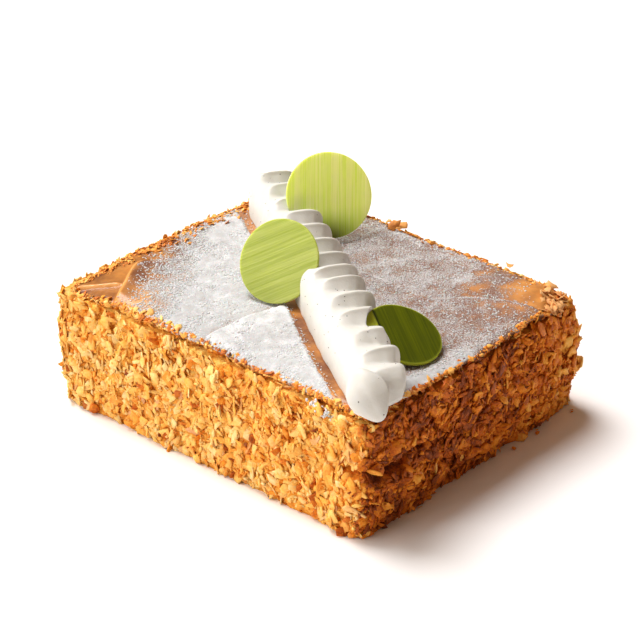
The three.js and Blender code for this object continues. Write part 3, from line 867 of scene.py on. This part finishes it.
sugar_material, nodes, links, shader = new_material("sieved_sugar")
clump = add_noise(nodes, links, 5.0 * MM, detail=6.0, roughness=0.65)
powder = add_noise(nodes, links, 0.35 * MM, detail=3.0, roughness=0.7)
thinness_and_painted_shade = add_attribute(nodes, "thinness_and_painted_shade")
shade = add_scaled(nodes, links, clump.outputs["Fac"], 1.4, -0.5)
shade = add_math(nodes, links, "ADD", shade, add_scaled(nodes, links, powder.outputs["Fac"], 0.6, 0.0))
shade = add_math(nodes, links, "ADD", shade, thinness_and_painted_shade)
ramp = add_ramp(nodes, SUGAR_COLOURS)
links.new(shade, ramp.inputs["Fac"])
links.new(ramp.outputs["Color"], shader.inputs["Base Color"])
height = add_math(nodes, links, "ADD", powder.outputs["Fac"], clump.outputs["Fac"])
links.new(add_bump(nodes, links, height, 0.17 * MM), shader.inputs["Normal"])
shader.inputs["Roughness"].default_value = 0.9
shader.inputs["Specular IOR Level"].default_value = 0.2
shader.inputs["Subsurface Weight"].default_value = 0.1
shader.inputs["Subsurface Scale"].default_value = 0.5 * MM


def sugar_crust(name, left):
    """The crust on one side of the cream: a skin over the sheet that dips into it where it thins out."""
    edit = bmesh.new()
    bmesh.ops.create_grid(
        edit, x_segments=round(LENGTH / SUGAR_STEP), y_segments=round(DEPTH / SUGAR_STEP),
        size=SUGAR_REACH,
    )
    square = np.array([v.co.to_tuple() for v in edit.verts])
    x, y, z = skin(square[:, 0], square[:, 1])
    across = across_rope(x, y)
    cover = sugar_cover(x, y)
    points = flat_points(x, y)
    grainy = 0.32 * lumps(points, 0.9, 3.0) + 0.2 * lumps(points, 1.7, 1.0)
    heap = cover + grainy * (1.0 - 0.92 * smooth_step(cover, 0.84, 0.98)) - 0.85
    thickness = np.clip(heap * 1.7, -0.5, SUGAR_THICKNESS)
    crinkle = np.abs(lumps(points, 4.5, 11.0)) + 0.6 * np.abs(lumps(points, 2.2, 13.0))
    thickness += 0.06 * lumps(points, 1.1, 6.0) + 0.22 * (0.3 - crinkle)
    keep = (across < -9.0 if left else across > 1.0) & (thickness > -0.35)
    for vertex, px, py, pz, rise in zip(edit.verts, x, y, z, thickness):
        vertex.co = Vector(middle) + Vector((px, py, pz + rise)) * MM
    outside = [vertex for vertex, kept in zip(edit.verts, keep) if not kept]
    bmesh.ops.delete(edit, geom=outside, context="VERTS")
    rims = [edge for edge in edit.edges if edge.is_boundary]
    lower = bmesh.ops.extrude_edge_only(edit, edges=rims)["geom"]
    for vertex in (g for g in lower if isinstance(g, bmesh.types.BMVert)):
        vertex.co.z -= 0.9 * MM
    bmesh.ops.recalc_face_normals(edit, faces=edit.faces)
    piece = add_piece(name, edit)
    places = vertex_places(piece.data)
    x, y = places[:, 0], places[:, 1]
    thinness_and_painted_shade = 0.35 * (1.0 - smooth_step(sugar_cover(x, y), 0.55, 0.95))
    # The sugar is painted greyer in the trough at the foot of the flap's edge, as painted shade, and
    # whiter along the flap's lip, as painted light.
    past_flap = x - flap_edge(y)
    on_flap = (1.0 - smooth_step(across_rope(x, y), -16.0, -14.0)) * (1.0 - smooth_step(y, -22.0, -8.0))
    foot_of_flap = smooth_step(past_flap, -7.0, -0.4) * (1.0 - smooth_step(past_flap, -0.4, 0.2))
    painted_light_on_flap_lip = smooth_step(past_flap, -0.2, 0.3) * (1.0 - smooth_step(past_flap, 0.3, 14.0))
    thinness_and_painted_shade += on_flap * (0.42 * foot_of_flap - 0.26 * painted_light_on_flap_lip)
    write_attribute(piece.data, "thinness_and_painted_shade", thinness_and_painted_shade)
    piece.data.materials.append(sugar_material)
    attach(piece, "root")
    return piece


sugar_crust("icing_sugar_left", True)
sugar_crust("icing_sugar_right", False)

# Loose grains and little clumps lie where the crust thins out and along both edges of the bare
# strip, and a smear of them is on the front.
GRAIN_TRIALS = 68000
STRIP_GRAINS = 240
STRIP_FOOT = -10.9
SMEAR_GRAINS = 46
SMEAR_MIDDLE = (50.5, -DEPTH / 2 - 1.3, 40.5)
SMEAR_SPREAD = (3.0, 0.3, 0.8)
SMEAR_SLOPE = 0.25
GRAIN_PALENESS = -0.4

u = rng.uniform(-RUN_END, RUN_END, GRAIN_TRIALS)
v = rng.uniform(-RUN_END, RUN_END, GRAIN_TRIALS)
x, y, z = skin(u, v)
cover = sugar_cover(x, y)
thinning = smooth_step(cover, 0.03, 0.5) * (1.0 - smooth_step(cover, 0.88, 0.98))
kept = rng.random(GRAIN_TRIALS) < thinning * np.where(across_rope(x, y) < 0.0, 1.0, 0.22)
points = np.stack([x, y, z + 0.05], axis=1)[kept]
smear = rng.normal(0.0, 1.0, (SMEAR_GRAINS, 3)) * SMEAR_SPREAD + SMEAR_MIDDLE
smear[:, 2] -= SMEAR_SLOPE * (smear[:, 0] - SMEAR_MIDDLE[0])
sizes = 0.36 + 0.7 * rng.random(len(points)) ** 3
strip_run = rng.uniform(-68.0, 76.0, STRIP_GRAINS)
strip_side = np.where(rng.random(STRIP_GRAINS) < 0.7, strip_edge(strip_run) + 0.5, STRIP_FOOT)
strip_side += rng.normal(0.0, 0.5, STRIP_GRAINS)
x, y, z = rope_point(strip_run, strip_side, 0.25).T
on_edge = (np.abs(x) < LENGTH / 2 - 2.0) & (np.abs(y) < DEPTH / 2 - 2.0)
strip_grains = np.stack([x, y, z], axis=1)[on_edge]
sizes = np.concatenate([
    sizes, rng.uniform(0.3, 0.8, len(strip_grains)), rng.uniform(0.7, 1.7, len(smear)),
])
points = np.concatenate([points, strip_grains, smear])
count = len(points)
facing = np.tile([0.0, 0.0, 1.0], (count, 1))
facing[-len(smear):] = (0.0, -1.0, 0.0)
grain_shapes = [crumb_shape(tiny=True) for _ in range(8)]
turns = lay_out(facing, rng.uniform(0, 6, count), np.zeros(count))
grains = join_copies("icing_sugar_grains", grain_shapes, points, turns, sizes, np.zeros(count))
write_attribute(grains.data, "thinness_and_painted_shade", np.full(len(grains.data.vertices), GRAIN_PALENESS))
grains.data.materials.append(sugar_material)
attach(grains, "root")

# ---- Cream rope -----------------------------------------------------------------------------------
# Whipped vanilla cream piped corner to corner in one pull, the bag rocked at each fold, so the folds
# overlap like scales with soft lips; the last one trails off as a petal over the front corner.

ROPE_CREST = 15.0
ROPE_LEFT = -10.5
ROPE_LEFT_FRONT = -13.2
ROPE_RIGHT = 10.2
ROPE_RIGHT_FRONT = 5.0
ROPE_START = -79.0
# How far each section of the rounded start and end stands along the rope, and its size.
START_ROUNDING = [(0.0, 0.2), (0.6, 0.4), (1.6, 0.55), (3.0, 0.7), (5.0, 0.83), (7.0, 0.9), (10.0, 0.97)]
END_ROUNDING = [(0.0, 1.0), (0.8, 0.98), (1.8, 0.94), (2.8, 0.87), (3.6, 0.77), (4.2, 0.62), (4.5, 0.4)]
FIRST_FOLD = -66.0
FOLD_PITCHES = [11.7, 11.7, 11.5, 11.4, 12.4, 11.7, 9.9, 8.4, 11.6, 11.6, 14.8, 13.1, 11.6]
FOLD_DEPTH = 0.29
FOLD_LEFT_SWEEP = 6.0
FOLD_RIGHT_SWEEP = -2.0
ROPE_ROUNDING = 76.0
ROWS_IN_FOLD = 18
STEPS_ROUND = 96
CREAM_GRAIN = 0.42
CREAM_SHADE = (0.64, 0.62, 0.57)
CREAM_WHITE = (0.71, 0.695, 0.65)


def rope_section(along, dip, size, character, t):
    """Points round the rope's arch, t from 0 at its left foot to 1 at its right one; each fold has
    its own character, -1 to 1: how far left its groove runs and how slanted its lip is."""
    left = blend_between(ROPE_LEFT, ROPE_LEFT_FRONT, smooth_step(along, -40.0, 60.0))
    right = blend_between(ROPE_RIGHT, ROPE_RIGHT_FRONT, smooth_step(along, 52.0, 86.0))
    angle = math.pi * (1.0 - t)
    side = np.abs(np.cos(angle))
    lift = np.maximum(np.sin(angle), 0.0)
    on_right = t > 0.5
    reach = np.where(on_right, right * side ** 0.5, left * side ** 0.7)
    rise = ROPE_CREST * lift ** np.where(on_right, 0.45, 0.6)
    depth = FOLD_DEPTH * blend_between(0.06, 1.0, smooth_step(t, 0.3 + 0.07 * character, 0.58))
    shrink = (1.0 - depth * dip) * size
    sweep = blend_between(FOLD_LEFT_SWEEP, 0.0, smooth_step(t, 0.0, 0.5)) * (1.0 + 0.35 * character)
    back = FOLD_RIGHT_SWEEP * smooth_step(t, 0.6, 1.0)
    end = smooth_step(along, ROPE_ROUNDING, ROPE_ROUNDING + 10.0)
    tuck = end * (1.0 - rise / ROPE_CREST) ** 1.5
    reach = reach * np.where(on_right, 1.0 - 0.45 * tuck, 1.0)
    rise = rise * (1.0 - 0.12 * smooth_step(along, ROPE_ROUNDING + 6.0, ROPE_ROUNDING + 13.0))
    return rope_point(along + (sweep + back) * size - 5.0 * tuck, reach * shrink, rise * shrink)


def fold_rows():
    """Where the rope's sections stand, how deep each dips below the folds' crests, and its size."""
    rows = [(ROPE_START + step, 0.5, size, 0.0) for step, size in START_ROUNDING]
    along = FIRST_FOLD
    for fold, pitch in enumerate(FOLD_PITCHES):
        for row in range(ROWS_IN_FOLD):
            phase = row / ROWS_IN_FOLD
            dip = min(phase / 0.32, 1.0) ** 0.75 * float(1.0 - smooth_step(phase, 0.32, 1.0))
            character = blend_between(math.sin(2.4 * fold), math.sin(2.4 * fold + 2.4), phase)
            rows.append((along + pitch * phase, dip, 1.0, character))
        along += pitch
    rows += [(along + step, 0.0, size, 0.0) for step, size in END_ROUNDING]
    return rows


# The rope grows ring by ring: each new ring is extruded from the last one, then put in its place.
rope_edit = bmesh.new()
share = np.arange(STEPS_ROUND) / (STEPS_ROUND - 1)
ring = bmesh.ops.create_circle(rope_edit, segments=STEPS_ROUND, radius=1.0)["verts"]
for row, (along, dip, size, character) in enumerate(fold_rows()):
    if row:
        edges = [edge for edge in rope_edit.edges if edge.is_boundary and edge.verts[0] in ring_set]
        grown = bmesh.ops.extrude_edge_only(rope_edit, edges=edges)["geom"]
        pairs = {}
        new = {g for g in grown if isinstance(g, bmesh.types.BMVert)}
        for face in (g for g in grown if isinstance(g, bmesh.types.BMFace)):
            for edge in face.edges:
                a, b = edge.verts
                if (a in new) != (b in new):
                    pairs[a if b in new else b] = b if b in new else a
        ring = [pairs[vertex] for vertex in ring]
    ring_set = set(ring)
    for vertex, place in zip(ring, rope_section(along, dip, size, character, share)):
        vertex.co = place
    if row == 0:
        bmesh.ops.contextual_create(rope_edit, geom=[e for e in rope_edit.edges])
bmesh.ops.contextual_create(rope_edit, geom=[e for e in rope_edit.edges if e.is_boundary])
bmesh.ops.recalc_face_normals(rope_edit, faces=rope_edit.faces)

# The petal that trails off at the front is a flattened ball between its root and its tip, sharp along
# its right edge, which then runs together with the rope.
PETAL_ROOT = (83.0, -12.0, 14.0)
PETAL_TIP = (94.6, -6.5, 0.9)
PETAL_WIDTH = 14.0
PETAL_THICKNESS = 8.0
PETAL_TILT = 0.75

petal = bmesh.ops.create_uvsphere(rope_edit, u_segments=48, v_segments=32, radius=1.0)["verts"]
root = Vector(rope_point(*np.array(PETAL_ROOT)))
tip = Vector(rope_point(*np.array(PETAL_TIP)))
down = (tip - root).normalized()
width = Vector((-ROPE_AXIS[1], ROPE_AXIS[0], PETAL_TILT))
width = (width - down * width.dot(down)).normalized()
outwards = down.cross(width)
for vertex in petal:
    x, y, z = vertex.co
    narrow = 1.0 - 0.28 * float(smooth_step(z, 0.0, 1.0)) - 0.2 * float(smooth_step(-z, 0.2, 1.0))
    flat = narrow * (1.0 - 0.75 * max(x, 0.0) ** 2)
    place = (root + tip) / 2 + down * z * (tip - root).length / 2 + outwards * 1.5 * max(x, 0.0)
    place += width * x * narrow * PETAL_WIDTH / 2 + outwards * y * flat * PETAL_THICKNESS / 2
    vertex.co = place
for vertex in rope_edit.verts:
    vertex.co = Vector(middle) + vertex.co * MM
rope = add_piece("cream_rope_folds", rope_edit)


def keep_result(piece):
    """Makes a piece's modifiers part of its mesh."""
    bpy.context.view_layer.update()
    done = piece.evaluated_get(bpy.context.evaluated_depsgraph_get())
    mesh = bpy.data.meshes.new_from_object(done)
    piece.modifiers.clear()
    piece.data = mesh
    mesh.polygons.foreach_set("use_smooth", [True] * len(mesh.polygons))


merged = rope.modifiers.new("one body", "REMESH")
merged.mode = "VOXEL"
merged.voxel_size = CREAM_GRAIN * MM
merged.use_smooth_shade = True
keep_result(rope)


def disc_place(node):
    """Centre of a constructed disc, the way it faces and its radius, in millimetres."""
    places = vertex_places(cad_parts[node].data)
    low, high = places.min(axis=0), places.max(axis=0)
    centre = (low + high) / 2
    spread = np.linalg.eigh(np.cov((places - centre).T))
    facing = spread[1][:, 0] * np.sign(spread[1][2, 0])
    return centre, facing, np.linalg.norm(places - centre, axis=1).max()


# The soft cream gives way behind each disc, up to this far along the rope.
PRESSED_TO = {"green_disc_back": -32.5, "green_disc_left": 6.0, "green_disc_right": 66.5}
PRESSED_DEPTH = 14.0
ROOM_ROUND_DISC = 0.1
ROOM_BEHIND_DISC = 0.2

for node, bare_to in PRESSED_TO.items():
    centre, facing, radius = disc_place(node)
    edit = bmesh.new()
    turn = Vector((0.0, 0.0, 1.0)).rotation_difference(Vector(facing)).to_matrix().to_4x4()
    radius += ROOM_ROUND_DISC
    middle_of_room = Vector(centre + facing * (PRESSED_DEPTH / 2 - ROOM_BEHIND_DISC))
    bmesh.ops.create_cone(
        edit, cap_ends=True, segments=96, radius1=radius, radius2=radius, depth=PRESSED_DEPTH,
        matrix=Matrix.Translation(middle_of_room) @ turn,
    )
    axis = Vector((ROPE_AXIS[0], ROPE_AXIS[1], 0.0))
    bmesh.ops.bisect_plane(
        edit, geom=edit.verts[:] + edit.edges[:] + edit.faces[:],
        plane_co=axis * bare_to, plane_no=axis, clear_outer=True,
    )
    bmesh.ops.contextual_create(edit, geom=[edge for edge in edit.edges if edge.is_boundary])
    bmesh.ops.recalc_face_normals(edit, faces=edit.faces)
    for vertex in edit.verts:
        vertex.co = Vector(middle) + vertex.co * MM
    room = add_piece("room_" + node, edit)
    cut = rope.modifiers.new("pressed by " + node, "BOOLEAN")
    cut.operation = "DIFFERENCE"
    cut.object = room
    cut.solver = "EXACT"
keep_result(rope)
for node in PRESSED_TO:
    bpy.data.objects.remove(bpy.data.objects["room_" + node])

cream_material, nodes, links, shader = new_material("vanilla_cream")
soft = add_noise(nodes, links, 3.0 * MM, detail=3.0)
fine = add_noise(nodes, links, 0.6 * MM, detail=3.0)
colour = add_mix(nodes, links, soft.outputs["Fac"], CREAM_SHADE, CREAM_WHITE)
links.new(colour, shader.inputs["Base Color"])
height = add_scaled(nodes, links, soft.outputs["Fac"], 2.0, 0.0)
height = add_math(nodes, links, "ADD", height, fine.outputs["Fac"])
links.new(add_bump(nodes, links, height, 0.06 * MM), shader.inputs["Normal"])
shader.inputs["Roughness"].default_value = 0.42
shader.inputs["Specular IOR Level"].default_value = 0.45
shader.inputs["Subsurface Weight"].default_value = 0.25
shader.inputs["Subsurface Radius"].default_value = (1.0, 0.75, 0.5)
shader.inputs["Subsurface Scale"].default_value = 1.0 * MM
rope.data.materials.clear()
rope.data.materials.append(cream_material)
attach(rope, "root")
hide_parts("cream_rope")

# ---- Vanilla specks -------------------------------------------------------------------------------
# Seeds scraped from a vanilla pod show as black specks in the cream, and a few have dropped on the
# icing sugar to the right of it.

SPECKS_ON_CREAM = 130
SPECKS_ON_SUGAR = 14
SEED_BLACK = (0.03, 0.018, 0.01)
SEED_BROWN = (0.09, 0.06, 0.04)

cream_corners = triangle_corners(rope)
area, upward = face_areas(cream_corners)
points, facing = pick_places(cream_corners, area * (upward > 0.0), SPECKS_ON_CREAM)
u = rng.uniform(0.2, 0.95, SPECKS_ON_SUGAR)
v = rng.uniform(-0.6, 0.8, SPECKS_ON_SUGAR)
x, y, z = skin(u, v)
on_sugar = np.stack([x, y, z + 0.3], axis=1)
points = np.concatenate([points, on_sugar])
facing = np.concatenate([facing, np.tile([0.0, 0.0, 1.0], (SPECKS_ON_SUGAR, 1))])
count = len(points)
turns = lay_out(facing, rng.uniform(0, 6, count), np.zeros(count))
specks = join_copies(
    "vanilla_specks", grain_shapes, points, turns, rng.uniform(0.22, 0.6, count), np.ones(count),
)
speck_material, nodes, links, shader = new_material("vanilla_seed")
tone = add_noise(nodes, links, 0.3 * MM)
colour = add_mix(nodes, links, tone.outputs["Fac"], SEED_BLACK, SEED_BROWN)
links.new(colour, shader.inputs["Base Color"])
shader.inputs["Roughness"].default_value = 0.5
specks.data.materials.append(speck_material)
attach(specks, "root")

# ---- Green discs ----------------------------------------------------------------------------------
# Rounds stamped from a thin sheet of coloured chocolate that was brushed out before it set, so fine
# straight brush lines run across each one and light comes through; the right one's bent edge is
# painted on as light and shade on a flat disc.

# Each disc's brush lines, in degrees from level, its two greens, each set for how the disc is lit, with
# painted light on the back one and painted shade on the right one, how much painted shade turns its foot
# olive, and how far light spreads in it, in millimetres.
DISC_LOOKS = {
    "green_disc_back": {
        "streaks": 84.0, "pale_with_painted_lighting": (0.86, 1.0, 0.42), "deep_with_painted_lighting": (0.54, 0.84, 0.02), "foot": 1.0, "glow": 5.0,
    },
    "green_disc_left": {
        "streaks": 34.0, "pale_with_painted_lighting": (0.49, 0.54, 0.15), "deep_with_painted_lighting": (0.28, 0.35, 0.04), "foot": 0.1, "glow": 3.0,
    },
    "green_disc_right": {
        "streaks": 62.0, "pale_with_painted_lighting": (0.10, 0.12, 0.0), "deep_with_painted_lighting": (0.035, 0.045, 0.0), "foot": 0.0, "glow": 3.0,
    },
}
PAINTED_SHADE_OLIVE = (0.045, 0.042, 0.0)
CREASE_SHADE_GREEN = (0.012, 0.016, 0.001)
LIT_GREEN = (0.42, 0.46, 0.04)
# The bent edge of one disc shows past a crease. The disc is made flat: the light the bent edge
# catches and the shade in the crease are painted on, with a painted highlight along its thin rim.
BENT_DISC = "green_disc_right"
BENT_PAST = 7.6
BENT_TOWARDS = (-0.886, 0.464)
DISC_RINGS = 30
DISC_SIDES = 160
DISC_THICKNESS = 1.2
DISC_BEVEL = 0.28
BRUSH_STRETCH = 60.0
DISC_CLEARANCE = 0.05

for node, look in DISC_LOOKS.items():
    centre, facing, radius = disc_place(node)
    radius -= DISC_CLEARANCE
    edit = bmesh.new()
    bmesh.ops.create_circle(edit, cap_ends=True, segments=DISC_SIDES, radius=radius)
    for _ in range(DISC_RINGS):
        inner = max(edit.faces, key=lambda face: len(face.verts))
        bmesh.ops.inset_region(
            edit, faces=[inner], thickness=radius / (DISC_RINGS + 1), use_boundary=True,
            use_even_offset=True,
        )
    bmesh.ops.poke(edit, faces=[max(edit.faces, key=lambda face: len(face.verts))])
    bmesh.ops.solidify(edit, geom=edit.faces[:], thickness=DISC_THICKNESS)
    bmesh.ops.recalc_face_normals(edit, faces=edit.faces)
    rim = [edge for edge in edit.edges if edge.calc_face_angle(0.0) > 1.0]
    bmesh.ops.bevel(
        edit, geom=rim, offset=DISC_BEVEL, segments=3, profile=0.5, affect="EDGES", material=-1,
    )
    low = min(vertex.co.z for vertex in edit.verts)
    for vertex in edit.verts:
        vertex.co.z -= low + DISC_THICKNESS / 2
    normal = Vector(facing)
    level = Vector((0.0, 0.0, 1.0)).cross(normal).normalized()
    uphill = normal.cross(level)
    angle = math.radians(look["streaks"])
    streak = level * math.cos(angle) + uphill * math.sin(angle)
    beside = normal.cross(streak)
    seed = 10.0 * centre[0]
    for vertex in edit.verts:
        x, y, z = vertex.co
        ridge = 0.05 * noise.noise(Vector((y / 1.1, x / 30.0, seed)))
        ridge += 0.06 * noise.noise(Vector((y / 2.8, x / 40.0, seed + 5.0)))
        warp = 0.25 * noise.noise(Vector((x / 14.0, y / 14.0, seed)))
        place = Vector(centre) + streak * x + beside * y + normal * (z + ridge + warp)
        vertex.co = Vector(middle) + place * MM
    disc = add_piece(node + "_brushed", edit)
    height = vertex_places(disc.data)[:, 2]
    low, high = height.min(), height.max()
    offset = vertex_places(disc.data) - centre
    # Painted shade darkens each disc towards its foot, where the cream shades it, less on its right side.
    right_side = smooth_step(offset @ np.array(level), -0.2 * radius, 0.8 * radius)
    foot = 1.0 - smooth_step(height, low, blend_between(low, high, 0.40))
    write_attribute(disc.data, "foot", foot * (1.0 - 0.6 * right_side))
    # Painted light past the bend and along the rim, and painted shade along the crease.
    past = offset @ np.array(level * BENT_TOWARDS[0] + uphill * BENT_TOWARDS[1]) - BENT_PAST
    rim_highlight = smooth_step(np.linalg.norm(offset, axis=1), radius - 0.7, radius)
    bent = float(node == BENT_DISC)
    write_attribute(disc.data, "lit", bent * np.maximum(smooth_step(past, 0.0, 0.5), 0.6 * rim_highlight))
    write_attribute(disc.data, "crease", bent * np.exp(-((past + 0.1) / 0.4) ** 2))

    material, nodes, links, shader = new_material(node + "_chocolate")
    place = nodes.new("ShaderNodeTexCoord")
    turned = nodes.new("ShaderNodeMapping")
    turned.vector_type = "TEXTURE"
    axes = Matrix((streak, beside, normal)).transposed()
    turned.inputs["Rotation"].default_value = axes.to_euler()
    turned.inputs["Location"].default_value = Vector(middle) + Vector(centre) * MM
    turned.inputs["Scale"].default_value = (BRUSH_STRETCH, 1.0, 1.0)
    links.new(place.outputs["Object"], turned.inputs["Vector"])
    broad = add_noise(nodes, links, 4.0 * MM, detail=2.0, vector=turned.outputs["Vector"])
    hair = add_noise(nodes, links, 0.7 * MM, detail=3.0, roughness=0.7, vector=turned.outputs["Vector"])
    share = add_scaled(nodes, links, hair.outputs["Fac"], 2.0, -1.0)
    wide = add_scaled(nodes, links, broad.outputs["Fac"], 1.6, -0.2)
    share = add_math(nodes, links, "ADD", share, wide, clamp=True)
    colour = add_mix(nodes, links, share, look["deep_with_painted_lighting"], look["pale_with_painted_lighting"])
    # The painted shade turns the foot olive.
    foot = add_math(nodes, links, "MULTIPLY", add_attribute(nodes, "foot"), look["foot"])
    colour = add_mix(nodes, links, foot, colour, PAINTED_SHADE_OLIVE)
    colour = add_mix(nodes, links, add_attribute(nodes, "lit"), colour, LIT_GREEN)
    colour = add_mix(nodes, links, add_attribute(nodes, "crease"), colour, CREASE_SHADE_GREEN)
    links.new(colour, shader.inputs["Base Color"])
    links.new(add_bump(nodes, links, hair.outputs["Fac"], 0.08 * MM), shader.inputs["Normal"])
    shader.inputs["Roughness"].default_value = 0.45
    shader.inputs["Specular IOR Level"].default_value = 0.12
    shader.inputs["Subsurface Weight"].default_value = 0.8
    shader.inputs["Subsurface Radius"].default_value = (1.0, 1.0, 0.25)
    shader.inputs["Subsurface Scale"].default_value = look["glow"] * MM
    disc.data.materials.append(material)
    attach(disc, "root")
    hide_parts(node)

# ---- Table, light and camera ----------------------------------------------------------------------
# A white table top under a large soft light from above the left end, a broad fill from the front
# left, and a camera that looks down along the rope of cream.

table_edit = bmesh.new()
bmesh.ops.create_grid(table_edit, x_segments=1, y_segments=1, size=4.0)
table = add_piece("table_top", table_edit)
table_material, nodes, links, shader = new_material("white_table")
shader.inputs["Base Color"].default_value = (0.93, 0.92, 0.92, 1.0)
shader.inputs["Roughness"].default_value = 0.9
shader.inputs["Specular IOR Level"].default_value = 0.0
table.data.materials.append(table_material)


def add_sun(name, towards, strength, width, colour):
    """A soft light from the given direction, as wide as the given degrees of sky; strength 1 lights
    a white face fully."""
    light = bpy.data.lights.new(name, "SUN")
    light.energy = strength * math.pi
    light.angle = math.radians(width)
    light.color = colour
    lamp = bpy.data.objects.new(name, light)
    lamp.rotation_euler = Vector(towards).to_track_quat("Z", "Y").to_euler()
    bpy.context.collection.objects.link(lamp)


add_sun("key_light", (-0.475, 0.05, 0.88), strength=1.14, width=32.0, colour=(1.0, 1.0, 1.0))
add_sun("front_fill", (-0.60, -0.77, 0.26), strength=0.91, width=80.0, colour=(1.0, 0.99, 0.96))

world = bpy.data.worlds.new("studio")
world.use_nodes = True
sky = world.node_tree.nodes["Background"]
sky.inputs["Color"].default_value = (1.0, 0.70, 0.46, 1.0)
sky.inputs["Strength"].default_value = 0.21
scene = bpy.context.scene
scene.world = world
scene.view_settings.view_transform = "Standard"

CAMERA_TURN = math.radians(41.8)
CAMERA_RISE = math.radians(28.2)
CAMERA_DISTANCE = 18.61 * HEIGHT
AIM_LEFT = 0.01 * HEIGHT
AIM_UP = 0.62 * HEIGHT
back = Vector((
    math.sin(CAMERA_TURN) * math.cos(CAMERA_RISE),
    -math.cos(CAMERA_TURN) * math.cos(CAMERA_RISE),
    math.sin(CAMERA_RISE),
))
right = Vector((math.cos(CAMERA_TURN), math.sin(CAMERA_TURN), 0.0))
upwards = back.cross(right)
camera_data = bpy.data.cameras.new("camera")
camera_data.lens = 135.0
camera_data.sensor_width = 36.0
camera_data.clip_start = 0.01
camera_data.clip_end = 20.0
camera = bpy.data.objects.new("camera", camera_data)
stand = back * CAMERA_DISTANCE - right * AIM_LEFT + upwards * AIM_UP
placed = Matrix((right, upwards, back)).transposed().to_4x4()
placed.translation = Vector(middle) + stand * MM
camera.matrix_world = placed
bpy.context.collection.objects.link(camera)
scene.camera = camera
